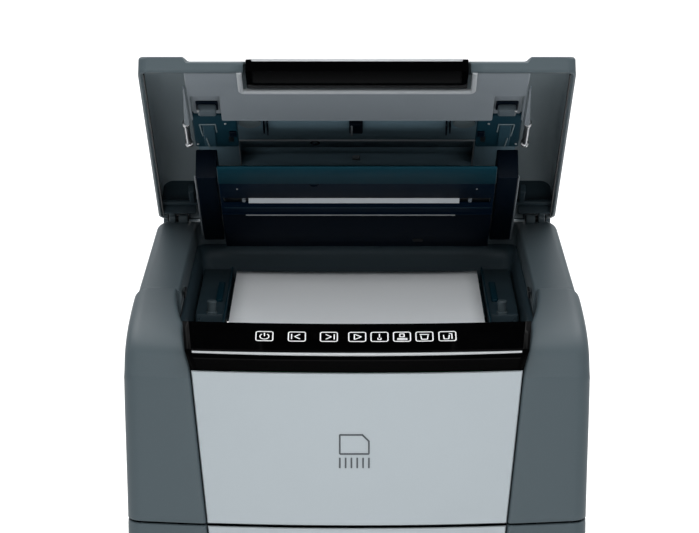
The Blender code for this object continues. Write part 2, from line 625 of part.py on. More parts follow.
def make_pressure_plate(lid):
    """The sprung plate that presses the sheets down, with its bright guide bar."""
    side_view = [(-PLATE_REAR_S, PLATE_T - WALL), (-PLATE_REAR_S, PLATE_T),
                 (-PLATE_FRONT_S, PLATE_T + PLATE_RISE), (-PLATE_FRONT_S, PLATE_T + PLATE_RISE - WALL)]
    plate = flat("pressure_plate", [side_view], "YZ", -PLATE_HALF, PLATE_HALF, "teal", lid)
    cut(plate, lid_box("plate_slot", (-0.1110, 0.1110), (0.1000, 0.1120), (-0.05, 0.0), None, lid))
    lid_box("guide_bar", (-0.0890, 0.0890), (0.1004, 0.1116), (PLATE_T - 0.0022, PLATE_T - 0.0006), "steel", lid)


# ---------------------------------------------------------------- cabinet, bin and castors
def make_cabinet():
    """Side, back and base panels, and the deck that parts the cutters from the bin."""
    for side, sign in SIDES:
        span = sorted((sign * (HALF_SHELL - WALL), sign * HALF_SHELL))
        profile = rounded(-0.1480, REAR_Y, BASE_Z + WALL + GAP, SEAM_Z, 0.004)
        flat(f"cabinet_side_{side}", [profile], "YZ", *span, "slate")
    half = HALF_SHELL - WALL - GAP
    box("cabinet_back", (-half, REAR_Y - WALL, BASE_Z + 0.006), (half, REAR_Y, SEAM_Z - 0.0004), "slate")
    base = flat("base_plate", [rounded(-0.1740, 0.1740, -0.1640, REAR_Y - 0.001, 0.020)], "XY",
                BASE_Z, BASE_Z + WALL, "slate")
    round_edges(base, 0.0008, 1)
    deck_outline = rounded(-half, half, -0.1500, REAR_Y - WALL - GAP, 0.0200)
    deck = flat("cutter_deck", [deck_outline], "XY", SEAM_Z + GAP, SEAM_Z + 0.0032, "slate")
    cut(deck, box("drop_slot", (-0.1200, -0.0280, 0.39), (0.1200, 0.0680, 0.41)))


def make_bin():
    """Pull-out bin: bucket, silver front with its grip and window, and the side fronts."""
    bucket = box("bin_bucket", (-BIN_HALF, BIN_FRONT_Y, BASE_Z + 0.0036),
                 (BIN_HALF, BIN_REAR_Y, BIN_TOP_Z), "slate")
    cut(bucket, box("bin_inside", (-BIN_HALF + BIN_WALL, BIN_FRONT_Y + BIN_WALL, BASE_Z + 0.0061),
                    (BIN_HALF - BIN_WALL, BIN_REAR_Y - BIN_WALL, 0.5)),
        box("bucket_window", (-0.070, BIN_FRONT_Y - 0.01, 0.200), (0.070, BIN_FRONT_Y + 0.01, 0.232)))
    top_z = SEAM_Z - 0.0015
    low_z = BASE_Z + 0.004
    low_half, high_half = inner_edge(low_z) - GAP, inner_edge(top_z) - GAP
    outline = [(-low_half, low_z), (low_half, low_z), (high_half, top_z), (-high_half, top_z)]
    holes = [rounded(-0.0720, 0.0720, 0.1980, 0.2340, 0.010),
             rounded(-0.0620, 0.0620, 0.3280, 0.3620, 0.012)]
    panel = flat("bin_panel", [outline] + holes, "XZ", 0.0, WALL, "silver")
    bow(panel)
    window_outline = rounded(-0.0715, 0.0715, 0.1985, 0.2335, 0.010)
    window = flat("bin_window", [window_outline], "XZ", 0.0006, 0.0026, "window")
    bow(window)
    grip = box("bin_grip", (-0.0660, -0.1770, 0.3240), (0.0660, -0.1712, 0.3660), "black_gloss")
    cut(grip, box("grip_pocket", (-0.0620, -0.20, 0.3280), (0.0620, -0.1730, 0.3620)))
    heights = [top_z - 0.0500 * step for step in range(7)] + [low_z]
    front = [(front_y(z), z) for z in heights]
    profile = [(-0.1484, top_z)] + front + [(-0.1484, low_z)]
    for side, sign in SIDES:
        span = sorted((sign * 0.1775, sign * 0.0))
        wing = flat(f"bin_side_{side}", [profile], "YZ", *span, "slate")
        bow(wing, lean=False, slices=10)
        inner_front = [(y + WALL, z) for y, z in front]
        inner_profile = [(0.0, 0.5), (inner_front[0][0], 0.5)] + inner_front
        inner_profile += [(inner_front[-1][0], 0.0), (0.0, 0.0)]
        inner_span = sorted((sign * (HALF_SHELL - 0.0012), sign * -0.01))
        hollow = flat(f"bin_side_hollow_{side}", [inner_profile], "YZ", *inner_span)
        cut(wing, bow(hollow, lean=False, slices=10))
        keep_outline = [(sign * inner_edge(low_z), low_z), (sign * inner_edge(top_z), top_z),
                        (sign * 0.1760, top_z), (sign * 0.1760, low_z)]
        boolean(wing, "INTERSECT", [flat(f"bin_side_keep_{side}", [keep_outline], "XZ", -0.25, -0.1484)])


def make_castors():
    """Four swivelling castors: a fork with its stem, and a wheel on its own axle."""
    for row, sign_y in (("front", -1), ("rear", 1)):
        for side, sign in SIDES:
            name = f"{row}_{side}"
            x, y = sign * CASTOR_X, sign_y * CASTOR_Y
            fork = box(f"castor_fork_{name}", (x - 0.0140, y - 0.0140, 0.0385),
                       (x + 0.0140, y + 0.0190, 0.0425), "steel")
            for cheek in (-1, 1):
                low_x = min(cheek * 0.0110, cheek * 0.0136)
                fuse(fork, box(f"cheek_{name}_{cheek}", (x + low_x, y + 0.002, 0.0120),
                               (x + low_x + 0.0026, y + 0.0180, 0.0395)))
            fuse(fork, rod(f"stem_{name}", (x, y, 0.0400), (x, y, BASE_Z - GAP), 0.0080),
                 rod(f"axle_{name}", (x - 0.0120, y + WHEEL_TRAIL, WHEEL_RADIUS),
                     (x + 0.0120, y + WHEEL_TRAIL, WHEEL_RADIUS), 0.0025, sides=12))
            set_origin(fork, (x, y, 0.0385))
            half = 0.0100
            profile = [(-half, 0.0031), (-half, 0.0160), (-half + 0.002, WHEEL_RADIUS),
                       (half - 0.002, WHEEL_RADIUS), (half, 0.0160), (half, 0.0031), (-half, 0.0031)]
            turned(f"castor_wheel_{name}", profile, (x, y + WHEEL_TRAIL, WHEEL_RADIUS), "rubber", 24)


def clear_scene():
    """Removes whatever the scene already holds."""
    for obj in list(bpy.data.objects):
        bpy.data.objects.remove(obj, do_unlink=True)


clear_scene()
PARTS = new_collection("paper_shredder")
CUTTERS = new_collection("cutters")
lid_hinge = bpy.data.objects.new("lid_hinge", None)
PARTS.objects.link(lid_hinge)
lid_hinge.location = (0.0, HINGE_Y, HINGE_Z)
lid_hinge.rotation_euler = (-LID_OPEN, 0.0, 0.0)
make_head_shell()
for side_name, side_sign in SIDES:
    make_side_cover(side_name, side_sign)
make_front()
make_tray()
make_drive()
make_electrics()
make_lid_shell(lid_hinge)
make_lid_trim(lid_hinge)
make_lid_works(lid_hinge)
make_pressure_plate(lid_hinge)
make_cabinet()
make_bin()
make_castors()
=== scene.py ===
"""Looks for the deskside paper shredder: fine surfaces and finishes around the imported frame.

Lengths are metres in the frame's own axes: +Z up, front towards -Y. Lid pieces are worked out in the
lid's own plane (s forward from the hinge axis, t up from the rim) and turned to the open angle.
"""
from __future__ import annotations

import logging
import math
from collections.abc import Callable, Sequence
from dataclasses import dataclass
from enum import Enum

import bmesh
import bpy
import numpy as np
from mathutils import Matrix, Vector


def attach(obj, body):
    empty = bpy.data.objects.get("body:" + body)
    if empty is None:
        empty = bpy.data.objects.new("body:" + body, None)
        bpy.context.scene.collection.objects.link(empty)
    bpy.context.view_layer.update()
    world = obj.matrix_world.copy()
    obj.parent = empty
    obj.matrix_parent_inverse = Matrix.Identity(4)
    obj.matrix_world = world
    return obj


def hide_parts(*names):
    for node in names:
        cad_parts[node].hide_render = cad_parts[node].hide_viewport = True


LOG = logging.getLogger("paper_shredder")
Array = np.ndarray
Piece = bpy.types.Object
Span = tuple[float, float]
Point = tuple[float, float, float]
Opening = tuple[Span, Span, float]

SIDES = (("l", -1.0), ("r", 1.0))
QUARTER = math.pi / 2
SHARP = 35.0
SEAM_Z = 0.400
FRONT_Y = -0.1845
BOW_RADIUS = 1.20
SILVER_HALF, SILVER_TAPER = 0.1148, 0.0909
PANEL_GAP = 0.0009
HINGE_Y, HINGE_Z = 0.1720, 0.5530
REAR_Y = 0.1848
FASCIA_TOP_Y, FASCIA_TOP_Z = -0.1446, 0.5490
FASCIA_LOW_Y, FASCIA_LOW_Z = -0.1770, 0.5372
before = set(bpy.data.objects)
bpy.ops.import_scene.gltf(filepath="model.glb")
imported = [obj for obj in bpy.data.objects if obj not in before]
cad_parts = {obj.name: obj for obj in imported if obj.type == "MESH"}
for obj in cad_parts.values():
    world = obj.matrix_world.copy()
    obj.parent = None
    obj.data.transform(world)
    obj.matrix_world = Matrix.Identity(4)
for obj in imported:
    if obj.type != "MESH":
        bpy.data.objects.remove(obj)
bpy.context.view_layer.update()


# ------------------------------------------------------------------ finishes
class Grain(Enum):
    """Surface pattern of a finish."""

    MOULDED = "moulded"
    BRUSHED = "brushed"
    FLAKE = "flake"
    POLISHED = "polished"
    FIBRE = "fibre"


@dataclass(frozen=True)
class Finish:
    """One procedural finish.

    Args:
        name: Material name.
        colour: Linear base colour.
        roughness: Mean roughness.
        metallic: Metallic value.
        grain: Which surface pattern it has.
        relief: Bump depth in metres.
        scale: Pattern features per metre.
        coat: Clear coat weight.
        clear: Transmission weight for clear plastic.
        specular: Specular level, low for surfaces that stay dark.
    """

    name: str
    colour: Point
    roughness: float
    metallic: float = 0.0
    grain: Grain = Grain.MOULDED
    relief: float = 0.00005
    scale: float = 1400.0
    coat: float = 0.0
    clear: float = 0.0
    specular: float = 0.5

    def material(self) -> bpy.types.Material:
        """Builds the material once and returns it.

        Returns:
            The material with its colour, roughness and bump driven by Object coordinates.
        """
        made = bpy.data.materials.get(self.name)
        if made:
            return made
        made = bpy.data.materials.new(self.name)
        made.use_nodes = True
        nodes, links = made.node_tree.nodes, made.node_tree.links
        shader = nodes["Principled BSDF"]
        for socket, value in (("Metallic", self.metallic), ("Coat Weight", self.coat),
                              ("Coat Roughness", 0.04),
                              ("Transmission Weight", self.clear), ("Specular IOR Level", self.specular)):
            shader.inputs[socket].default_value = value
        place, mapping = nodes.new("ShaderNodeTexCoord"), nodes.new("ShaderNodeMapping")
        stretch = (0.04, 1.0, 1.0) if self.grain is Grain.BRUSHED else (1.0, 1.0, 1.0)
        mapping.inputs["Scale"].default_value = stretch
        links.new(place.outputs["Object"], mapping.inputs["Vector"])
        fine = self._noise(made, mapping, self.scale, 2.0)
        broad = self._noise(made, mapping, 9.0, 3.0)
        tint = nodes.new("ShaderNodeMix")
        tint.data_type = "RGBA"
        spread = {Grain.FLAKE: 0.10, Grain.POLISHED: 0.04, Grain.FIBRE: 0.035}.get(self.grain, 0.09)
        tint.inputs["A"].default_value = (*(channel * (1 - spread) for channel in self.colour), 1.0)
        tint.inputs["B"].default_value = (*(min(1.0, channel * (1 + spread)) for channel in self.colour), 1.0)
        blend, half = nodes.new("ShaderNodeMath"), nodes.new("ShaderNodeMath")
        blend.operation, half.operation = "MULTIPLY_ADD", "MULTIPLY"
        blend.inputs[1].default_value = half.inputs[1].default_value = 0.5
        links.new(fine.outputs["Fac"], blend.inputs[0])
        links.new(broad.outputs["Fac"], half.inputs[0])
        links.new(half.outputs[0], blend.inputs[2])
        links.new(blend.outputs[0], tint.inputs["Factor"])
        links.new(tint.outputs["Result"], shader.inputs["Base Color"])
        rough = nodes.new("ShaderNodeMapRange")
        rough.inputs["To Min"].default_value = self.roughness * 0.86
        rough.inputs["To Max"].default_value = min(1.0, self.roughness * 1.14)
        links.new(broad.outputs["Fac"], rough.inputs["Value"])
        links.new(rough.outputs["Result"], shader.inputs["Roughness"])
        bump = nodes.new("ShaderNodeBump")
        bump.inputs["Distance"].default_value = self.relief
        bump.inputs["Strength"].default_value = 0.6
        links.new(fine.outputs["Fac"], bump.inputs["Height"])
        links.new(bump.outputs["Normal"], shader.inputs["Normal"])
        return made

    @staticmethod
    def _noise(made: bpy.types.Material, mapping: bpy.types.Node, scale: float,
               detail: float) -> bpy.types.Node:
        """Adds one noise pattern fed by the mapping node."""
        noise = made.node_tree.nodes.new("ShaderNodeTexNoise")
        noise.inputs["Scale"].default_value = scale
        noise.inputs["Detail"].default_value = detail
        made.node_tree.links.new(mapping.outputs["Vector"], noise.inputs["Vector"])
        return noise


SLATE = Finish("slate_moulding", (0.056, 0.076, 0.086), 0.46, relief=0.00006, specular=0.22)
# A darker copy of the slate moulding: painted shade on the well, the bucket, the cutter deck and the parts in
# the lid's rear corners.
SLATE_SHADED_COPY = Finish("slate_painted_shade", (0.020, 0.036, 0.046), 0.50, specular=0.25)
FRAME_GREY = Finish("frame_moulding", (0.150, 0.172, 0.190), 0.50, specular=0.3)
SILVER = Finish("silver_paint", (0.335, 0.373, 0.394), 0.44, 0.10, Grain.FLAKE, 0.00002, 2600.0,
                specular=0.30)
# Polished trim colour, also used as a painted highlight bar along the lid lip's edge.
BRIGHT_METAL_AND_HIGHLIGHT = Finish("polished_trim_and_highlight", (0.400, 0.415, 0.425), 0.38, 0.25, Grain.POLISHED, 0.000004, 300.0)
GLOSS = Finish("gloss_black", (0.0005, 0.0005, 0.0006), 0.08, 0.0, Grain.POLISHED, 0.000004, 60.0,
               specular=0.010)
# Satin black of the black parts, also used as painted shade: black patches for the wall notch, the bracket
# pocket and the floor behind the plate's slot.
BLACK_AND_SHADE = Finish("black_satin_and_painted_shade", (0.004, 0.005, 0.006), 0.45, specular=0.2)
TEAL = Finish("teal_moulding", (0.0040, 0.0230, 0.0350), 0.50, specular=0.08)
# Near-black blue of the small mouldings, also used as painted shade: the block round each catch and the
# plate's flat rear.
DEEP_BLUE_AND_SHADE = Finish("deep_blue_and_painted_shade", (0.0005, 0.0030, 0.0075), 0.50, specular=0.06)
STEEL = Finish("bright_steel", (0.400, 0.410, 0.420), 0.32, 1.0, Grain.BRUSHED, 0.00003, 1500.0)
DARK_STEEL = Finish("oiled_steel", (0.250, 0.255, 0.265), 0.36, 1.0, Grain.BRUSHED, 0.00004, 1200.0)
NYLON = Finish("natural_nylon", (0.700, 0.680, 0.620), 0.48)
PAPER = Finish("office_paper", (0.880, 0.910, 0.930), 0.62, 0.0, Grain.FIBRE, 0.00003, 2200.0)
RUBBER = Finish("castor_rubber", (0.018, 0.018, 0.019), 0.72, relief=0.00008, scale=900.0)
BOARD = Finish("solder_mask", (0.012, 0.120, 0.050), 0.34, 0.0, Grain.POLISHED, 0.00001, 500.0, 0.4)
SMOKED = Finish("smoked_window", (0.120, 0.135, 0.150), 0.08, 0.0, Grain.POLISHED, 0.000004, 60.0, 0.5, 0.55)
# A lighter copy of the frame grey: painted highlights as bright lines along the notch rim, the ceiling's
# front edge and the plate's ledge.
PALE_GREY_HIGHLIGHT = Finish("grey_painted_highlight", (0.290, 0.310, 0.325), 0.42)
# A lighter copy of the teal: painted light on the bracket's step and a painted highlight line along the
# plate's slot edge.
TEAL_LIT_COPY = Finish("teal_painted_highlight", (0.0140, 0.0400, 0.0560), 0.50, specular=0.12)
CEILING = Finish("ceiling_moulding", (0.1250, 0.2000, 0.2450), 0.50, specular=0.10)
LATCH = Finish("latch_moulding", (0.060, 0.078, 0.090), 0.50, specular=0.2)
# Pale colour of the ceiling bosses, also used for painted highlights: the bright lines along the bracket's
# step.
PALE_BOSS_AND_HIGHLIGHT = Finish("pale_boss_and_painted_highlight", (0.1300, 0.1700, 0.1850), 0.50, specular=0.15)
PLATE = Finish("plate_moulding", (0.0002, 0.0055, 0.0150), 0.50, specular=0.02)
# A lighter copy of the plate's colour: painted light on the plate's front beam.
PLATE_LIT_COPY = Finish("plate_painted_light", (0.0030, 0.0290, 0.0440), 0.50, specular=0.04)
BAR = Finish("pale_bar", (0.500, 0.530, 0.550), 0.45, 0.0, Grain.BRUSHED, 0.00002, 900.0, specular=0.3)
# A much lighter copy of the slate moulding for the lid's inner wall: painted light on the shaded inside of
# the lid.
SLATE_LIT_COPY = Finish("slate_painted_light", (0.230, 0.275, 0.295), 0.55, relief=0.00006, specular=0.10)
INK = Finish("symbol_white", (0.900, 0.905, 0.910), 0.45, 0.0, Grain.POLISHED, 0.000004, 300.0)
MARK = Finish("symbol_grey", (0.045, 0.055, 0.062), 0.45, 0.0, Grain.POLISHED, 0.000004, 300.0)


# ------------------------------------------------------------------ mesh tools
def faced_mesh(name: str, points: Array, faces: list[Sequence[int]], finish: Finish, smooth: float) -> Piece:
    """Makes an object from points and faces, welded, finished and shaded.

    Args:
        name: Object name.
        points: Points, shape (n, 3).
        faces: Point numbers of each face.
        finish: The piece's finish.
        smooth: Edges under this angle in degrees are shaded smooth.

    Returns:
        The new mesh object, at the origin.
    """
    mesh = bpy.data.meshes.new(name)
    mesh.from_pydata(points.tolist(), [], faces)
    piece = bpy.data.objects.new(name, mesh)
    bpy.context.scene.collection.objects.link(piece)
    work = bmesh.new()
    work.from_mesh(mesh)
    bmesh.ops.remove_doubles(work, verts=work.verts, dist=1e-6)
    bmesh.ops.dissolve_degenerate(work, edges=work.edges, dist=1e-7)
    if all(edge.is_manifold for edge in work.edges):
        bmesh.ops.recalc_face_normals(work, faces=work.faces)
    work.to_mesh(mesh)
    work.free()
    shade(mesh, finish, smooth)
    return piece


def shade(mesh: bpy.types.Mesh, finish: Finish, smooth: float) -> None:
    """Gives a mesh its one finish, and smooth shading across edges under an angle in degrees."""
    mesh.materials.clear()
    mesh.materials.append(finish.material())
    mesh.shade_smooth()
    mesh.set_sharp_from_angle(angle=math.radians(smooth))


def sheet_mesh(name: str, grid: Array, finish: Finish, wrap: bool = False, keep: Array | None = None,
               smooth: float = 40.0) -> Piece:
    """Makes an object from a grid of points, with one quad between each four neighbours.

    Args:
        name: Object name.
        grid: Points, shape (rows, columns, 3).
        finish: The piece's finish.
        wrap: Joins the last column to the first.
        keep: True for each quad that stays, shape (rows - 1, columns - 1).
        smooth: Edges under this angle in degrees are shaded smooth.

    Returns:
        The new mesh object, at the origin.
    """
    rows, columns = grid.shape[:2]
    index = np.arange(rows * columns).reshape(rows, columns)
    if wrap:
        index = np.hstack([index, index[:, :1]])
    quads = np.stack([index[:-1, :-1], index[:-1, 1:], index[1:, 1:], index[1:, :-1]], axis=-1)
    quads = quads[keep] if keep is not None else quads.reshape(-1, 4)
    used, faces = np.unique(quads, return_inverse=True)
    return faced_mesh(name, grid.reshape(-1, 3)[used], faces.reshape(quads.shape).tolist(), finish, smooth)


def midpoints(grid: Array) -> Array:
    """The middle of each quad of a grid, from its two opposite corners."""
    return (grid[:-1, :-1] + grid[1:, 1:]) / 2


def between(values: Array, low: float, high: float) -> Array:
    """True where values lie between low and high."""
    return (values > low) & (values < high)


def stations(*runs: Array | Sequence[float], digits: int = 5) -> Array:
    """All stations of several runs in order, each once."""
    return np.unique(np.round(np.concatenate(runs), digits))


def about_x(x: Array, size: Array, turn: Array, y: float, z: float) -> Array:
    """Rings about an axis along X: y + size * cos(turn), z + size * sin(turn) at each x."""
    return np.stack([np.broadcast_to(np.asarray(x)[:, None], size.shape), y + size * np.cos(turn),
                     z + size * np.sin(turn)], axis=-1)


def closed_loft(name: str, rings: Array, finish: Finish, smooth: float = 40.0) -> Piece:
    """Joins closed rings of equal length into one body whose end rings are filled.

    The ends are filled by a strip of quads across each end ring, first point to last point.

    Args:
        name: Object name.
        rings: Points, shape (rings, points, 3), with an even number of points.
        finish: The piece's finish.
        smooth: Edges under this angle in degrees are shaded smooth.

    Returns:
        The new mesh object.
    """
    count, points = rings.shape[:2]
    index = np.arange(count * points).reshape(count, points)
    looped = np.hstack([index, index[:, :1]])
    walls = np.stack([looped[:-1, :-1], looped[:-1, 1:], looped[1:, 1:], looped[1:, :-1]], axis=-1)
    half = points // 2
    front = np.arange(half)
    back = (points - front) % points
    caps = []
    for ring, order in ((index[0], -1), (index[-1], 1)):
        strip = np.stack([ring[front[:-1]], ring[front[1:]], ring[back[1:]], ring[back[:-1]]], axis=-1)
        last = np.array([[ring[half - 1], ring[half], ring[half], ring[back[half - 1]]]])
        caps.append(np.vstack([strip, last])[:, ::order])
    quads = np.vstack([walls.reshape(-1, 4), *caps])
    faces = [tuple(dict.fromkeys(face)) for face in quads.tolist()]
    return faced_mesh(name, rings.reshape(-1, 3), [face for face in faces if len(face) > 2], finish, smooth)


def rounded_ring(half_u: float, half_v: float, radius: float, steps: int = 6) -> Array:
    """Outline of a rectangle with round corners, about its middle, shape (4 * steps, 2).

    Args:
        half_u: Half-length along the first axis.
        half_v: Half-length along the second axis.
        radius: Corner radius.
        steps: Points on each corner.

    Returns:
        The outline, in order round it.
    """
    turn = np.linspace(0, QUARTER, steps)
    quarter = np.stack([np.cos(turn), np.sin(turn)], axis=-1) * radius
    parts = []
    for number, (sign_u, sign_v) in enumerate(((1, 1), (-1, 1), (-1, -1), (1, -1))):
        cosine, sine = math.cos(number * math.pi / 2), math.sin(number * math.pi / 2)
        turned = quarter @ np.array([[cosine, sine], [-sine, cosine]])
        parts.append(turned + np.array([sign_u * (half_u - radius), sign_v * (half_v - radius)]))
    return np.vstack(parts)


def soft_block(name: str, low: Point, high: Point, finish: Finish, edge: float = 0.001,
               corner: float = 0.002, axis: int = 2) -> Piece:
    """A block with round corners seen along an axis, whose two end faces have rounded edges.

    Each ring is the corner outline drawn in by edge * (1 - sin a), while the ring's place moves
    from the end by edge * (1 - cos a).

    Args:
        name: Object name.
        low: Lowest corner.
        high: Highest corner.
        finish: The piece's finish.
        edge: Radius of the edges at the two ends.
        corner: Radius of the corners along the axis.
        axis: The axis that the rings are stacked along.

    Returns:
        The new mesh object.
    """
    lowest, highest = np.array(low), np.array(high)
    others = [number for number in range(3) if number != axis]
    middle, half = (lowest + highest) / 2, (highest - lowest) / 2
    edge = min(edge, half.min() * 0.9)
    corner = max(min(corner, half[others].min() * 0.95), edge * 1.05)
    turns = np.linspace(0, QUARTER, 4)
    ends = [(-half[axis] + edge * (1 - math.sin(turn)), edge * (1 - math.cos(turn))) for turn in turns[::-1]]
    ends += [(half[axis] - edge * (1 - math.sin(turn)), edge * (1 - math.cos(turn))) for turn in turns]
    rings = []
    for place, inset in ends:
        outline = rounded_ring(half[others[0]] - inset, half[others[1]] - inset, corner - inset * 0.99)
        ring = np.zeros((len(outline), 3))
        ring[:, others[0]], ring[:, others[1]], ring[:, axis] = outline[:, 0], outline[:, 1], place
        rings.append(ring + middle)
    return closed_loft(name, np.array(rings), finish)


def turned_body(name: str, profile: Array | list[Span], start: Point, end: Point, finish: Finish,
                sides: int = 32, smooth: float = 40.0) -> Piece:
    """A body turned about the line from start to end.

    Args:
        name: Object name.
        profile: (distance along the line, radius) points; a radius of 0 closes an end.
        start: First end of the line.
        end: Second end of the line.
        finish: The piece's finish.
        sides: Points round the body.
        smooth: Edges under this angle in degrees are shaded smooth.

    Returns:
        The new mesh object.
    """
    profile = np.array(profile)
    along = np.array(end, float) - np.array(start, float)
    along /= np.linalg.norm(along)
    helper = np.array([0.0, 0.0, 1.0]) if abs(along[2]) < 0.9 else np.array([1.0, 0.0, 0.0])
    first = np.cross(along, helper)
    first /= np.linalg.norm(first)
    second = np.cross(along, first)
    turn = np.linspace(0, 2 * math.pi, sides, endpoint=False)
    circle = np.cos(turn)[:, None] * first + np.sin(turn)[:, None] * second
    grid = np.array(start) + profile[:, :1, None] * along + profile[:, 1:2, None] * circle[None]
    return sheet_mesh(name, grid, finish, wrap=True, smooth=smooth)


def tube(name: str, path: Array, radius: float, finish: Finish, sides: int = 10) -> Piece:
    """A round bar carried along a path, with closed ends.

    Args:
        name: Object name.
        path: Points of the middle line, shape (n, 3).
        radius: Bar radius.
        finish: The piece's finish.
        sides: Points round the bar.

    Returns:
        The new mesh object.
    """
    tangent = np.gradient(path, axis=0)
    tangent /= np.linalg.norm(tangent, axis=1)[:, None]
    helper = np.array([0.31, 0.17, 0.93])
    first = np.cross(tangent, helper)
    first /= np.linalg.norm(first, axis=1)[:, None]
    second = np.cross(tangent, first)
    turn = np.linspace(0, 2 * math.pi, sides, endpoint=False)
    rings = (path[:, None] + radius * (np.cos(turn)[None, :, None] * first[:, None]
                                       + np.sin(turn)[None, :, None] * second[:, None]))
    return closed_loft(name, rings, finish)


def solid(piece: Piece, thickness: float, bevel: float = 0.0) -> Piece:
    """Gives an open sheet a wall on its inner side, and rounds its edges.

    Args:
        piece: The sheet.
        thickness: Wall thickness.
        bevel: Edge radius, or 0 for none.

    Returns:
        The same piece.
    """
    wall = piece.modifiers.new("wall", "SOLIDIFY")
    wall.thickness = thickness
    wall.offset = -1.0
    if bevel:
        soften(piece, bevel)
    return piece


def soften(piece: Piece, width: float) -> None:
    """Rounds a piece's sharp edges."""
    bevel = piece.modifiers.new("edge", "BEVEL")
    bevel.width, bevel.segments = width, 2
    bevel.limit_method, bevel.angle_limit = "ANGLE", math.radians(SHARP)
    bevel.use_clamp_overlap = True


def softened_copy(node: str, name: str, finish: Finish, width: float) -> Piece:
    """A copy of a CAD node, merged, with its flat faces made whole and its edges rounded.

    Args:
        node: The CAD node to copy.
        name: Name of the new piece.
        finish: The piece's finish.
        width: Edge radius.

    Returns:
        The new piece, which replaces the node.
    """
    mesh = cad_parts[node].data.copy()
    mesh.name = name
    work = bmesh.new()
    work.from_mesh(mesh)
    bmesh.ops.remove_doubles(work, verts=work.verts, dist=2e-6)
    bmesh.ops.dissolve_limit(work, angle_limit=math.radians(1.0), verts=work.verts, edges=work.edges)
    work.to_mesh(mesh)
    work.free()
    shade(mesh, finish, SHARP)
    piece = bpy.data.objects.new(name, mesh)
    bpy.context.scene.collection.objects.link(piece)
    soften(piece, width)
    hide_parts(node)
    return piece


def settle(piece: Piece, body: str, slot: str, *nodes: str) -> None:
    """Rides a piece on a body and hides the CAD nodes that it stands for.

    Args:
        piece: The new piece.
        body: The body that it moves with.
        slot: Material slot of the record; not used.
        *nodes: CAD nodes that it replaces.
    """
    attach(piece, body)
    if nodes:
        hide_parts(*nodes)
    LOG.info("%s rides on %s", piece.name, body)


def even(line: Array | Sequence[Point], count: int = 0) -> Array:
    """A line's own points with evenly placed ones added between them.

    Args:
        line: Points joined by straight runs, shape (n, 2) or (n, 3).
        count: How many even places are laid over the line; left out, two for each millimetre.

    Returns:
        The denser line.
    """
    line = np.array(line)
    place = np.concatenate([[0.0], np.cumsum(np.linalg.norm(np.diff(line, axis=0), axis=1))])
    count = count or max(2, int(place[-1] / 0.0010) * 2)
    at = np.unique(np.concatenate([place, np.linspace(0, place[-1], count)]))
    return np.stack([np.interp(at, place, column) for column in line.T], axis=-1)


def smooth_curve(points: Array, samples: int) -> Array:
    """A smooth curve through points, as a Catmull-Rom spline sampled evenly in its parameter.

    Args:
        points: Points that the curve passes through, shape (n, 2).
        samples: How many points are returned.

    Returns:
        Points on the curve, shape (samples, 2).
    """
    padded = np.vstack([2 * points[0] - points[1], points, 2 * points[-1] - points[-2]])
    place = np.linspace(0, len(points) - 1 - 1e-9, samples)
    span = place.astype(int)
    u = (place - span)[:, None]
    p0, p1, p2, p3 = (padded[span + shift] for shift in range(4))
    return 0.5 * (2 * p1 + (p2 - p0) * u + (2 * p0 - 5 * p1 + 4 * p2 - p3) * u ** 2
                  + (3 * p1 - p0 - 3 * p2 + p3) * u ** 3)


def smooth_step(value: Array, low: float, high: float) -> Array:
    """Rises smoothly from 0 at low to 1 at high."""
    ratio = np.clip((value - low) / (high - low), 0.0, 1.0)
    return ratio * ratio * (3 - 2 * ratio)


# ------------------------------------------------------------------ casing
def bow_of(x: Array) -> Array:
    """How far the bowed front stands back at x: x squared over twice the plan radius."""
    return x ** 2 / (2 * BOW_RADIUS)


def front_y(z: Array) -> Array:
    """The front face's y on the centre line: fullest at the seam, easing back above and below."""
    above = FRONT_Y + 0.0040 * np.clip((z - SEAM_Z) / 0.121, 0, None) ** 2
    below = FRONT_Y + 0.0060 * np.clip((SEAM_Z - z) / 0.355, 0, None) ** 2
    return np.where(z > SEAM_Z, above, below)


def inner_edge(z: Array) -> Array:
    """Half-width of the silver centre, which narrows downwards in a straight line."""
    return SILVER_HALF + (z - SEAM_Z) * SILVER_TAPER


def rounded_distance(x: Array, z: Array, middle: Span, half: Span,
                     radius: float) -> Array:
    """Signed distance from a rectangle with round corners, negative inside."""
    out_x = np.abs(x - middle[0]) - (half[0] - radius)
    out_z = np.abs(z - middle[1]) - (half[1] - radius)
    return (np.hypot(np.maximum(out_x, 0), np.maximum(out_z, 0))
            + np.minimum(np.maximum(out_x, out_z), 0) - radius)


def on_front(x: Array, z: Array, depth: float) -> Array:
    """Points on the bowed front, a depth behind its face."""
    return np.stack([x, front_y(z) + bow_of(x) + depth, z], axis=-1)


def corner_section(edge: Array, outer: Array) -> tuple[Array, Array]:
    """Across a front corner at each height: inner return, rounded lip, face and corner round.

    Args:
        edge: Inner edge of the corner piece at each height.
        outer: Its half-width at each height.

    Returns:
        Places across, shape (heights, 26), and how far each column lies behind the face, shape (26,).
    """
    lip, corner = 0.0026, 0.0105
    turn, bend = np.linspace(0, QUARTER, 6), np.linspace(0, QUARTER, 9)
    edge, outer = edge[:, None], outer[:, None]
    x = np.hstack([np.tile(edge, (1, 2)), edge + lip * (1 - np.cos(turn)),
                   edge + lip + (outer - corner - edge - lip) * np.linspace(0.08, 0.92, 9),
                   outer - corner + corner * np.sin(bend)])
    inset = [[0.0125, 0.0065], lip * (1 - np.sin(turn)), np.zeros(9), corner * (1 - np.cos(bend))]
    return x, np.concatenate(inset)


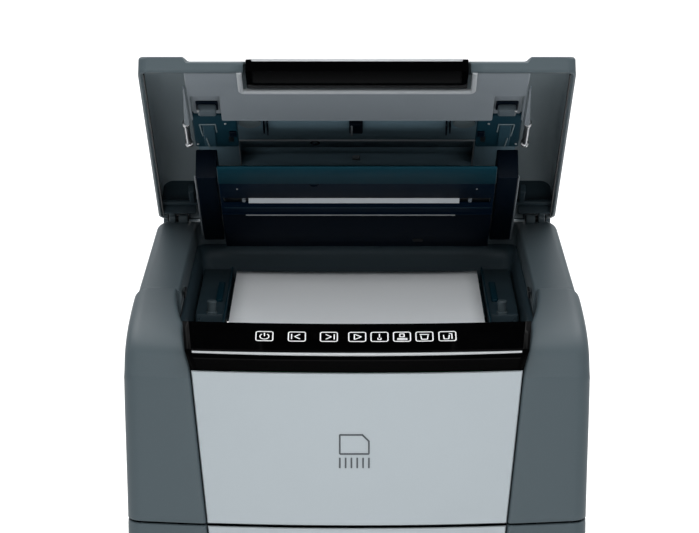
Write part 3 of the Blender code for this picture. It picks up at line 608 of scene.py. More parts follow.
@dataclass
class HeadCasing:
    """Upper casing: walls and shoulders round the tray, and the proud covers on the front corners."""

    seam: float = 0.4004
    vents: tuple[float, ...] = (0.436, 0.450, 0.464, 0.478, 0.492)
    vent_rise: float = 0.006
    vent_span: Span = (-0.120, -0.030)
    inlet_spans: tuple[Span, ...] = ((0.0498, 0.0802), (0.0908, 0.1112))
    inlet_rise: Span = (0.4298, 0.4552)
    deck: float = 0.5500
    half: float = 0.1748
    rear: float = REAR_Y
    corner: float = 0.0220
    start_y: float = -0.0534
    shoulder: float = 0.0075
    cover_top: tuple[Span, ...] = (
        (-0.0530, 0.5516), (-0.0700, 0.5512), (-0.0900, 0.5498), (-0.1150, 0.5472), (-0.1380, 0.5436),
        (-0.1560, 0.5388), (-0.1680, 0.5318), (-0.1752, 0.5215))

    def plan(self, half: float, rear: float, corner: float, places: Array) -> Array:
        """A U-shaped plan path at even places from 0 to 1, left front to right front.

        Each side takes the first and last 0.35, each quarter-circle corner 0.08, the rear the rest.

        Args:
            half: Half-width.
            rear: Rear face.
            corner: Radius of the rear corners.
            places: Places along the path, from 0 to 1.

        Returns:
            Points in plan, shape (places, 2).
        """
        knots = np.array([0.0, 0.35, 0.43, 0.57, 0.65, 1.0])
        u = np.clip(places, 0, 1)
        part = np.clip(np.searchsorted(knots, u, side="right") - 1, 0, 4)
        w = (u - knots[part]) / (knots[part + 1] - knots[part])
        reach = rear - corner - self.start_y
        turn = w * QUARTER
        runs = [part == run for run in range(4)]
        x = np.select(runs,
                      [np.full_like(u, -half), -half + corner - corner * np.cos(turn),
                       (2 * w - 1) * (half - corner), half - corner + corner * np.sin(turn)], half)
        y = np.select(runs,
                      [self.start_y + reach * w, rear - corner + corner * np.sin(turn), np.full_like(u, rear),
                       rear - corner + corner * np.cos(turn)], self.start_y + reach * (1 - w))
        return np.stack([x, y], axis=-1)

    def shell(self) -> None:
        """Side and rear walls, shoulder, deck and well rim, with openings for vents and inlet.

        Each point lies between the outer and the well outline by a weight, at a height, both read
        from one cross-section that is carried round the U.
        """
        vents = np.array(self.vents)
        rows = stations(np.linspace(self.seam, self.deck - self.shoulder, 6), vents, vents + self.vent_rise,
                        self.inlet_rise)
        turn = np.linspace(0.15, math.pi / 2, 7)
        weight = [np.zeros(len(rows)), (1 - np.cos(turn)) * self.shoulder / 0.036]
        height = [rows, self.deck - self.shoulder * (1 - np.sin(turn))]
        dip = np.linspace(0, QUARTER, 5)
        weight += [np.array([0.5]), 0.915 + 0.06 * np.sin(dip), np.array([0.985, 0.992])]
        height += [np.array([self.deck]), self.deck - 0.0028 * (1 - np.cos(dip)), np.array([0.5380, 0.5300])]
        weights, heights = np.concatenate(weight), np.concatenate(height)
        columns = [np.linspace(0, 0.35, 15), np.linspace(0.35, 0.43, 9), np.linspace(0.57, 0.65, 9),
                   np.linspace(0.65, 1.0, 15)]
        span = 2 * (self.half - self.corner)
        stops = np.array([self.vent_span, *self.inlet_spans]).ravel()
        columns.append(0.43 + 0.14 * (stops + span / 2) / span)
        columns.append(np.linspace(0.43, 0.57, 13))
        places = stations(*columns, digits=6)
        outer = self.plan(self.half, self.rear, self.corner, places)
        inner = self.plan(0.1394, 0.1712, 0.0100, places)
        flat = outer[None] * (1 - weights[:, None, None]) + inner[None] * weights[:, None, None]
        flat[:, 0, 1] = flat[:, -1, 1] = self.start_y
        grid = np.concatenate([flat, np.broadcast_to(heights[:, None, None], (*flat.shape[:2], 1))], axis=-1)
        middle = midpoints(grid)
        slot = np.zeros(middle.shape[:2], bool)
        for low in vents:
            slot |= between(middle[..., 0], *self.vent_span) & between(middle[..., 2], low,
                                                                       low + self.vent_rise)
        for span in self.inlet_spans:
            slot |= between(middle[..., 0], *span) & between(middle[..., 2], *self.inlet_rise)
        on_rear = middle[..., 1] > self.rear - 0.0005
        shell = sheet_mesh("head_casing", grid[:, ::-1], SLATE, keep=~(slot & on_rear)[:, ::-1])
        settle(solid(shell, 0.0028, 0.0004), "body", "slate_plastic", "head_shell")
        for name, x, y, z, corner in (
                ("hinge_block", (0.1475, 0.1555), (0.1642, 0.1798), (0.5490, 0.5580), 0.0035),
                ("hinge_skirt", (0.1400, 0.1700), (0.1818, 0.1846), (0.5440, 0.5585), 0.0012)):
            for side, sign in SIDES:
                low, high = sorted((sign * x[0], sign * x[1]))
                block = soft_block(f"{name}_{side}", (low, y[0], z[0]), (high, y[1], z[1]), SLATE, 0.0010,
                                   corner, 0)
                settle(block, "body", "slate_plastic")

    def cover(self, side: str, sign: float) -> None:
        """A cover over one front corner.

        The side profile is carried across: an inner return, a rounded inner lip, the face out to
        the corner round, then the flat side carried back at its own height.

        Args:
            side: Letter of the side, for names.
            sign: -1 on the left, 1 on the right.
        """
        top = smooth_curve(np.array(self.cover_top), 40)
        heights = np.linspace(0.5150, self.seam, 22)
        front = np.stack([front_y(heights), heights], axis=-1)
        profile = np.vstack([top, front])
        slope = np.gradient(profile, axis=0)
        slope /= np.linalg.norm(slope, axis=1)[:, None]
        normal = np.stack([slope[:, 1], -slope[:, 0]], axis=-1)
        normal[0], normal[-1] = (0.0, 1.0), (-1.0, 0.0)
        rise = profile[:, 1]
        edge = np.interp(rise, [0.400, 0.521, 0.545, 0.5516], [0.1148, 0.1258, 0.1335, 0.1425])
        outer = 0.1770 - 0.0010 * smooth_step(rise, 0.52, 0.40)
        x, inset = corner_section(edge, outer)
        yz = profile[:, None] - normal[:, None] * inset[None, :, None]
        front_share = smooth_step(-profile[:, 0], 0.100, 0.170)[:, None]
        yz[..., 0] += bow_of(x) * front_share
        grid = np.concatenate([x[..., None], yz], axis=-1)
        last = grid[:, -1:]
        back = last.copy()
        back[..., 1] = self.start_y
        grid = np.concatenate([grid, last + (back - last) * np.array([0.03, 0.5, 1.0])[None, :, None]],
                              axis=1)
        grid[..., 0] *= sign
        cover = sheet_mesh(f"front_cover_{side}", grid if sign < 0 else grid[:, ::-1], SLATE)
        settle(solid(cover, 0.0022, 0.0003), "body", "slate_plastic", f"side_cover_{side}")

    def build(self) -> None:
        """Builds the shell and both covers."""
        self.shell()
        for side, sign in SIDES:
            self.cover(side, sign)


def panel_grid(low: float, high: float, half_at: Callable[[Array], Array], rows: int, columns: int,
               edge: float) -> Array:
    """A bowed front panel as a grid with its rim turned back.

    The face is x = half(z) * u, y = front_y(z) + bow(x). One more ring round it falls back by the
    edge, which gives the rolled rim.

    Args:
        low: Lower edge height.
        high: Upper edge height.
        half_at: Half-width of the panel at each height.
        rows: Points up the face.
        columns: Points across the face.
        edge: How far the rim is drawn in and back.

    Returns:
        Points, shape (rows + 2, columns + 2, 3).
    """
    u = np.concatenate([[-1.0], np.linspace(-1, 1, columns), [1.0]])
    v = np.concatenate([[0.0], np.linspace(0, 1, rows), [1.0]])
    inset_u, inset_v = np.zeros(len(u)), np.zeros(len(v))
    inset_u[[1, -2]] = inset_v[[1, -2]] = edge, -edge
    z = low + (high - low) * v + inset_v
    x = half_at(z)[:, None] * u[None] + inset_u[None]
    y = front_y(z)[:, None] + bow_of(x)
    rim = np.zeros_like(x)
    rim[:, [0, -1]] = edge
    rim[[0, -1]] = edge
    return np.stack([x, y + rim, np.broadcast_to(z[:, None], x.shape)], axis=-1)


@dataclass
class FrontPanels:
    """The silver front, the gloss control panel with its touch symbols, and the bright trim line."""

    seam: float = 0.4006
    band: float = 0.5208
    half: float = 0.1333
    slope: tuple[Span, ...] = (
        (-0.1440, 0.5440), (-0.1436, 0.5480), (-0.1446, 0.5490), (-0.1600, 0.5435), (-0.1770, 0.5372),
        (-0.1790, 0.5362), (-0.1799, 0.5345), (-0.1801, 0.5300), (-0.1804, 0.5220), (-0.1790, 0.5213),
        (-0.1775, 0.5213))

    def silver(self) -> None:
        """The upper silver panel, flat-lit with a rolled rim."""
        grid = panel_grid(self.seam, self.band, lambda z: inner_edge(z) - PANEL_GAP, 30, 50, 0.0008)
        panel = sheet_mesh("front_panel_skin", grid, SILVER)
        settle(solid(panel, 0.0026), "body", "silver_panel", "front_panel")

    def control(self) -> None:
        """The gloss panel: its cross-section carried across and set back along the bow."""
        section = np.array(self.slope)
        half = np.minimum(self.half, np.interp(section[:, 1], [0.521, 0.549], [0.1252, 0.1333]))
        u = np.linspace(-1, 1, 49)
        x = half[:, None] * u[None]
        y = section[:, :1] + bow_of(x)
        grid = np.stack([x, y, np.broadcast_to(section[:, 1:], x.shape)], axis=-1)
        panel = sheet_mesh("control_fascia", grid[:, ::-1], GLOSS, smooth=55)
        settle(solid(panel, 0.0024), "body", "black_gloss", "control_panel")

    def trim(self) -> None:
        """The bright line under the symbols: a half-round section carried along the bow."""
        turn = np.linspace(0, 2 * math.pi, 16, endpoint=False)
        x = np.linspace(-0.1240, 0.1240, 61)
        swell = 0.00075 + 0.00045 * np.cos(x / 0.1240 * math.pi / 2)
        y = -0.1803 + bow_of(x)
        rings = np.stack([np.broadcast_to(x[:, None], (61, 16)), y[:, None] - 0.0012 * np.cos(turn)[None],
                          0.5357 - 0.0016 * (1 - (x / 0.124) ** 2)[:, None] * 0.15
                          + swell[:, None] * np.sin(turn)[None]], axis=-1)
        settle(closed_loft("trim_line", rings, BRIGHT_METAL_AND_HIGHLIGHT), "body", "silver_panel", "trim_strip")

    def on_slope(self, u: Array, v: Array, lift: float) -> Array:
        """Places panel points: u across in metres, v up the slope in metres from its middle."""
        low, high = np.array([FASCIA_LOW_Y, FASCIA_LOW_Z]), np.array([FASCIA_TOP_Y, FASCIA_TOP_Z])
        along = (high - low) / np.linalg.norm(high - low)
        middle = (low + high) / 2
        y = middle[0] + along[0] * v + bow_of(u) - along[1] * lift
        return np.stack([u, y, middle[1] + along[1] * v + along[0] * lift], axis=-1)

    def stroke(self, name: str, line: Array, width: float, centre: float, shift: float) -> Piece:
        """A raised ink line of even width along flat points, laid on the slope.

        Args:
            name: Piece name.
            line: Points of the middle line, shape (n, 2).
            width: Line width.
            centre: Where the symbol stands across.
            shift: How far it is moved up the slope.

        Returns:
            The new piece.
        """
        step = np.gradient(line, axis=0)
        step /= np.linalg.norm(step, axis=1)[:, None]
        side = np.stack([-step[:, 1], step[:, 0]], axis=-1) * width / 2
        left, right = line + side, line - side
        flat = np.stack([left, left, right, right], axis=1)
        lift = np.array([0.00002, 0.00016, 0.00016, 0.00002])
        grid = self.on_slope(flat[..., 0] + centre, flat[..., 1] + shift, lift[None])
        return closed_loft(name, grid, INK, smooth=30)

    def symbols(self) -> None:
        """Eight touch symbols, each a round-cornered frame with a generic drawing in it."""
        frame = rounded_ring(0.0064, 0.0058, 0.0016, 6)
        frame = np.vstack([frame, frame[:2]])
        arc = np.linspace(math.radians(55), math.radians(-235), 24)
        ring = np.stack([np.cos(arc) * 0.0034, np.sin(arc) * 0.0034 - 0.0003], axis=-1)
        left = np.array([[0.0030, 0.0030], [-0.0022, 0.0], [0.0030, -0.0030]])
        box = np.array([[-0.0028, 0.0016], [-0.0022, -0.0034], [0.0022, -0.0034], [0.0028, 0.0016]])
        bar = np.array([[-0.0036, 0.0026], [0.0036, 0.0026]])
        drawings = {
            "power": [ring, np.array([[0.0, 0.0042], [0.0, 0.0]])],
            "reverse": [left * [0.8, 1], np.array([[-0.0040, 0.0032], [-0.0040, -0.0032]])],
            "forward": [left * [-0.8, 1], np.array([[0.0040, 0.0032], [0.0040, -0.0032]])],
            "start": [np.array([[-0.0022, 0.0034], [0.0032, 0.0], [-0.0022, -0.0034], [-0.0022, 0.0034]])],
            "warm": [np.array([[0.0, 0.0038], [0.0, -0.0008]]),
                     np.stack([np.cos(arc) * 0.0013, np.sin(arc) * 0.0013 - 0.0024], axis=-1)],
            "jam": [np.array([[-0.0036, -0.0022], [0.0036, -0.0022], [0.0036, -0.0038], [-0.0036, -0.0038]]),
                    np.array([[-0.0016, 0.0036], [0.0016, 0.0036], [0.0016, -0.0002], [-0.0016, -0.0002],
                              [-0.0016, 0.0036]])],
            "full": [box, bar],
            "door": [box * [0.8, 1] + [-0.0008, 0],
                     np.array([[0.0012, 0.0036], [0.0034, 0.0030], [0.0034, -0.0034]])],
        }
        places = (-0.0700, -0.0454, -0.0212, 0.0002, 0.0170, 0.0340, 0.0510, 0.0684)
        for (name, lines), centre in zip(drawings.items(), places):
            for number, line in enumerate([frame, *lines]):
                settle(self.stroke(f"symbol_{name}_{number}", even(line), 0.00085, centre, 0.0004), "body",
                       "paper")

    def mark(self) -> None:
        """A plain sheet-and-strips sign on the silver front, as slightly raised grey lines."""
        middle, half, foot = -0.0020, 0.0110, 0.4580
        sheet = np.array([[-half, foot], [-half, foot + 0.0150], [half - 0.0050, foot + 0.0150],
                          [half, foot + 0.0100], [half, foot], [-half, foot]])
        strips = [np.array([[x, foot - 0.0030], [x, foot - 0.0110]]) for x in np.linspace(-half, half, 6)]
        for number, line in enumerate([sheet, *strips]):
            x, z = even(line).T
            path = on_front(x + middle, z, -0.0001)
            settle(tube(f"front_mark_{number}", path, 0.00065, MARK, 8), "body", "slate_plastic")

    def build(self) -> None:
        """Builds the front panels and symbols."""
        self.silver()
        self.control()
        self.trim()
        self.symbols()
        self.mark()


# ------------------------------------------------------------------ tray
@dataclass
class PaperTray:
    """The sheet well with its ledges, posts and guide ribs, and the sheets in it."""

    floor: float = 0.4960
    half_floor: float = 0.1350
    front: float = -0.1402
    rear: float = 0.1702
    top: float = 0.5300
    sheets: int = 14

    def well(self) -> None:
        """Floor and drafted walls: round-cornered outlines stacked upwards from the floor.

        Each ring is the floor outline moved in or out: a fillet of 4 mm, then the drafted wall up
        under the deck's rim. The floor is flat, with an opening for each feed roller and the nip.
        """
        turn, fillet = np.linspace(0, QUARTER, 5), 0.0040
        reach = np.concatenate([1 - fillet * (1 - np.sin(turn)) / self.half_floor, [1.012, 1.0259]])
        level = np.concatenate([self.floor + fillet * (1 - np.cos(turn)), [0.515, self.top]])
        outline = rounded_ring(self.half_floor, (self.rear - self.front) / 2, 0.010, 8)
        middle_y = (self.rear + self.front) / 2
        away = outline + np.sign(outline) * (reach[:, None, None] - 1) * self.half_floor
        heights = np.broadcast_to(level[:, None], away.shape[:2])
        rings = np.stack([away[..., 0], away[..., 1] + middle_y, heights], axis=-1)
        # The well's walls and floor take the darker slate copy as painted shade.
        walls = sheet_mesh("tray_walls", rings[:, ::-1], SLATE_SHADED_COPY, wrap=True)
        settle(solid(walls, 0.0020), "body", "slate_plastic", "paper_tray")
        inner, slot_half = rings[0], 0.114
        xs = np.unique(np.concatenate([np.linspace(inner[:, 0].min(), inner[:, 0].max(), 25),
                                       [-slot_half, slot_half]]))
        slots = ((-0.0100, 0.0095), (0.0200, 0.0045), (0.0500, 0.0095))
        edges = [y + sign * half for y, half in slots for sign in (-1, 1)]
        ys = np.unique(np.concatenate([np.linspace(inner[:, 1].min(), inner[:, 1].max(), 25), edges]))
        grid = np.stack([*np.meshgrid(xs, ys), np.full((len(ys), len(xs)), self.floor)], axis=-1)
        middle = midpoints(grid)
        hole = np.zeros(middle.shape[:2], bool)
        for y, half in slots:
            hole |= (np.abs(middle[..., 1] - y) < half) & (np.abs(middle[..., 0]) < slot_half)
        floor = sheet_mesh("tray_floor", grid, SLATE_SHADED_COPY, keep=~hole)
        settle(solid(floor, 0.0020), "body", "slate_plastic")

    def fittings(self, side: str, sign: float) -> None:
        """One side's ledge, post, guide rib and wall notch.

        Args:
            side: Letter of the side, for names.
            sign: -1 on the left, 1 on the right.
        """
        for name, x, y, z, finish, slot, edge, node in (
                ("tray_ledge_top", (0.1098, 0.1335), (0.0235, 0.1685), (self.floor, 0.5080), SLATE_SHADED_COPY,
                 "slate", 0.0008, "tray_ledge"),
                ("guide_rib", (0.1082, 0.1096), (-0.1200, 0.1640), (self.floor, 0.5115), TEAL, "teal",
                 0.0005, ""),
                ("outer_rib", (0.1285, 0.1305), (-0.1180, 0.0200), (self.floor, 0.5062), SLATE_SHADED_COPY, "slate",
                 0.0006, ""),
                ("ledge_pad", (0.1130, 0.1185), (0.0620, 0.1180), (0.5078, 0.5105), TEAL, "teal", 0.0006, ""),
                # The wall notch is a black block, painted shade for a shallow recess.
                ("notch_painted_shade", (0.1372, 0.1390), (-0.0360, -0.0200), (0.5385, 0.5440), BLACK_AND_SHADE, "slate",
                 0.0004, ""),
                ("wall_seam", (0.1378, 0.1386), (-0.1350, -0.0330), (0.5372, 0.5380), BLACK_AND_SHADE, "slate",
                 0.0003, "")):
            low, high = sorted((sign * x[0], sign * x[1]))
            block = soft_block(f"{name}_{side}", (low, y[0], z[0]), (high, y[1], z[1]), finish, edge)
            settle(block, "body", f"{slot}_plastic", *([f"{node}_{side}"] if node else []))
        post = [(0.0, 0.0), (0.0, 0.0046), (0.0012, 0.0046), (0.0018, 0.0036), (0.0092, 0.0036),
                (0.0092, 0.0040), (0.0102, 0.0040), (0.0110, 0.0034), (0.0112, 0.0)]
        settle(turned_body(f"tray_post_{side}", post, (sign * 0.1200, 0.0285, 0.5078),
                           (sign * 0.1200, 0.0285, 0.5190), SLATE, 28), "body", "slate_plastic")

    def paper(self) -> None:
        """A few visible bundles of A4 sheets: each is a thin slab, a hair out of square with the next."""
        rng = np.random.default_rng(11)
        bottom, top = self.floor + 0.0006, 0.5080
        thick = (top - bottom) / self.sheets
        for number in range(self.sheets):
            shift = rng.normal(0, 0.00022, 2)
            low_z = bottom + thick * number
            xs = np.linspace(-0.1048, 0.1048, 17)
            ys = np.linspace(-0.1368, 0.1598, 25)
            lift = 0.0010 * (number == self.sheets - 1) * (np.abs(xs)[None] / 0.105) ** 4 * (
                smooth_step(ys, 0.10, 0.16)[:, None])
            flat = np.stack(np.meshgrid(xs + shift[0], ys + shift[1]), axis=-1)
            grid = np.concatenate([flat, (low_z + thick * 0.94 + lift)[..., None]], axis=-1)
            slab = sheet_mesh(f"sheet_bundle_{number:02d}", grid, PAPER)
            nodes = ("paper_stack",) if number == 0 else ()
            settle(solid(slab, thick * 0.88), "body", "paper", *nodes)

    def build(self) -> None:
        """Builds the tray."""
        self.well()
        for side, sign in SIDES:
            self.fittings(side, sign)
        self.paper()


# ------------------------------------------------------------------ lid
LID_TILT = math.radians(35.0)
LID_FRAME = Matrix.Translation((0.0, HINGE_Y, HINGE_Z)) @ Matrix.Rotation(-LID_TILT, 4, "X")


def on_lid(x: Array, s: Array, t: Array) -> Array:
    """Points given in the lid's own plane (x across, s forward from the hinge, t up), as frame points."""
    x, s, t = np.broadcast_arrays(x, s, t)
    y = HINGE_Y - s * math.cos(LID_TILT) + t * math.sin(LID_TILT)
    return np.stack([x, y, HINGE_Z + s * math.sin(LID_TILT) + t * math.cos(LID_TILT)], axis=-1)


def lid_block(name: str, x: Span, s: Span, t: Span, finish: Finish, edge: float = 0.0006,
              corner: float = 0.0012, axis: int = 2) -> Piece:
    """A soft block laid out in the lid's own plane and carried to the open lid."""
    low_x, high_x = sorted(x)
    block = soft_block(name, (low_x, -s[1], t[0]), (high_x, -s[0], t[1]), finish, edge, corner, axis)
    block.data.transform(LID_FRAME)
    return block


def lid_tube(name: str, points: Array | Sequence[Point], radius: float, finish: Finish, samples: int = 24,
             sides: int = 10) -> Piece:
    """A round bar along (x, s, t) points, evenly sampled along the straight runs between them."""
    return tube(name, on_lid(*even(points, samples).T), radius, finish, sides)


@dataclass(frozen=True)
class LidPart:
    """A soft block of the lid or plate, for one side; the other side mirrors it.

    Args:
        name: Piece name, to which the side is added when it is made for each side.
        x: Reach across.
        s: Reach forward from the hinge axis.
        t: Reach up from the rim.
        finish: The piece's finish.
        slot: Material slot of the record.
        edge: Radius of the end edges.
        corner: Radius of the corners.
        body: The body that it rides on.
        node: The CAD node that it replaces, without its side, or nothing.
    """

    name: str
    x: Span
    s: Span
    t: Span
    finish: Finish
    slot: str = "teal_plastic"
    edge: float = 0.0006
    corner: float = 0.0012
    body: str = "lid"
    node: str = ""

    def place(self, side: str = "", sign: float = 1.0) -> None:
        """Makes the block, for one side or once on the middle line."""
        tail = f"_{side}" if side else ""
        block = lid_block(self.name + tail, (sign * self.x[0], sign * self.x[1]), self.s, self.t, self.finish,
                          self.edge, self.corner)
        settle(block, self.body, self.slot, *([self.node + tail] if self.node else []))


@dataclass(frozen=True)
class LidLine:
    """A thin round bar of the lid or plate, through (x, s, t) points."""

    name: str
    points: tuple[Point, ...]
    radius: float
    finish: Finish
    samples: int = 40
    sides: int = 8
    slot: str = "grey_plastic"
    body: str = "lid"

    def place(self, side: str = "", sign: float = 1.0) -> None:
        """Makes the bar, for one side or once."""
        name = f"{self.name}_{side}" if side else self.name
        points = np.array(self.points) * (sign, 1.0, 1.0)
        settle(lid_tube(name, points, self.radius, self.finish, self.samples, self.sides), self.body,
               self.slot)


CEILING_T = 0.0300
PLATE_T = -0.0280
SIDE_PARTS = (
    LidPart("hinge_arm", (0.1582, 0.1638), (0.0030, 0.0130), (-0.0010, 0.0280), SLATE, "slate_plastic"),
    # The hinge screen is a dark sheet across each rear corner of the lid: painted shade where the hinge lies
    # in shadow.
    LidPart("hinge_shadow_sheet", (0.1400, 0.1690), (0.0120, 0.0136), (-0.0005, 0.0330), SLATE_SHADED_COPY,
            "slate_plastic"),
    LidPart("window_floor", (0.1080, 0.1306), (0.2170, 0.2650), (0.0062, 0.0080), FRAME_GREY, "grey_plastic"),
    # The catch shadow is a painted shadow: a dark block round each latch.
    LidPart("catch_shadow", (0.1102, 0.1278), (0.2262, 0.2430), (0.0050, 0.0060), DEEP_BLUE_AND_SHADE, "grey_plastic",
            0.0003),
    LidPart("lid_latch", (0.1116, 0.1262), (0.2285, 0.2395), (-0.0016, 0.0052), LATCH, "grey_plastic", 0.0016,
            0.0022, node="lid_catch"),
    LidPart("bracket_plate", (0.0968, 0.1325), (0.1520, 0.2162), (0.0044, 0.0090), TEAL, edge=0.0010,
            corner=0.0025, node="plate_bracket"),
    # The bracket step's lighter teal is painted light.
    LidPart("bracket_step", (0.1150, 0.1245), (0.1560, 0.1985), (0.0032, 0.0046), TEAL_LIT_COPY, edge=0.0005),
    # The bracket pocket is a black patch, painted shade for a recess.
    LidPart("bracket_painted_shade", (0.1005, 0.1045), (0.1640, 0.1740), (0.0036, 0.0046), BLACK_AND_SHADE, edge=0.0003),
    LidPart("bracket_hook", (0.0975, 0.1035), (0.1760, 0.1860), (0.0026, 0.0046), DEEP_BLUE_AND_SHADE),
    LidPart("side_arm", (0.1150, 0.1325), (0.0060, 0.1500), (-0.0225, 0.0030), DEEP_BLUE_AND_SHADE, edge=0.0010),
    LidPart("spring_lever", (0.1400, 0.1450), (0.0200, 0.0460), (0.0060, 0.0140), SLATE_SHADED_COPY, "slate_plastic",
            0.0012),
    LidPart("bar_clip", (0.0955, 0.0925), (0.1105, 0.1170), (-0.0284, -0.0262), FRAME_GREY, "grey_plastic",
            0.0004, body="plate"),
    # The bracket outline and bracket edge are painted highlights: bright lines along the step's edges.
    LidLine("bracket_outline", ((0.1252, 0.1760, 0.0042), (0.1268, 0.1995, 0.0042), (0.1142, 0.1995, 0.0042),
                                (0.1136, 0.1840, 0.0042)), 0.00055, PALE_BOSS_AND_HIGHLIGHT),
    LidLine("bracket_edge", ((0.1225, 0.1740, 0.0030), (0.1208, 0.1545, 0.0030)), 0.0005, PALE_BOSS_AND_HIGHLIGHT, 8),
    LidLine("arm_edge", ((0.1329, 0.1480, -0.0200), (0.1334, 0.0080, -0.0222)), 0.0007, FRAME_GREY, 12),
    LidLine("torsion_rod", ((0.1320, 0.0180, 0.0080), (0.1690, 0.0180, 0.0080)), 0.0026, SLATE_SHADED_COPY, 8, 16),
)
MIDDLE_PARTS = (
    LidPart("centre_clip", (-0.0064, 0.0048), (0.1300, 0.1490), (CEILING_T - 0.0050, CEILING_T), DEEP_BLUE_AND_SHADE,
            edge=0.0010),
    LidPart("centre_clip_bar", (-0.0052, -0.0036), (0.1290, 0.1480), (CEILING_T - 0.0064, CEILING_T - 0.0040),
            FRAME_GREY, "grey_plastic", 0.0004),
    LidPart("pocket_latch", (-0.0040, 0.0026), (0.0530, 0.0580), (CEILING_T + 0.0030, CEILING_T + 0.0060),
            FRAME_GREY, "grey_plastic", 0.0008),
    # The slot floor is a black sheet behind the slot, painted shade.
    LidPart("slot_painted_shade", (-0.1104, 0.1104), (0.1062, 0.1202), (-0.0256, -0.0246), BLACK_AND_SHADE, edge=0.0003,
            body="plate"),
    LidPart("plate_latch", (0.0480, 0.0570), (0.0185, 0.0240), (-0.0290, -0.0276), BLACK_AND_SHADE, body="plate"),
    LidLine("frame_rear_lip", ((-0.1070, 0.2168, 0.0012), (0.1070, 0.2168, 0.0012)), 0.0011, FRAME_GREY, 40,
            10),
    LidLine("pocket_edge", ((-0.0994, 0.0500, CEILING_T - 0.0010), (-0.0994, 0.1064, CEILING_T - 0.0010),
                            (0.0985, 0.1064, CEILING_T - 0.0010), (0.0985, 0.0500, CEILING_T - 0.0010)),
            0.0006, FRAME_GREY, 60),
    # The ceiling edge and the ledge line are painted highlights: bright bars along those edges.
    LidLine("ceiling_edge", ((-0.1045, 0.1072, CEILING_T - 0.0010), (0.1030, 0.1072, CEILING_T - 0.0010)),
            0.0007, PALE_GREY_HIGHLIGHT),
    LidLine("ledge_line", ((-0.0935, 0.0842, -0.0294), (0.0825, 0.0842, -0.0294)), 0.0006, PALE_GREY_HIGHLIGHT,
            body="plate"),
    # The slot line is a painted highlight along the slot's edge.
    LidLine("slot_edge_highlight", ((-0.1110, 0.0990, -0.0284), (0.1110, 0.0990, -0.0284)), 0.0005, TEAL_LIT_COPY,
            slot="teal_plastic", body="plate"),
)


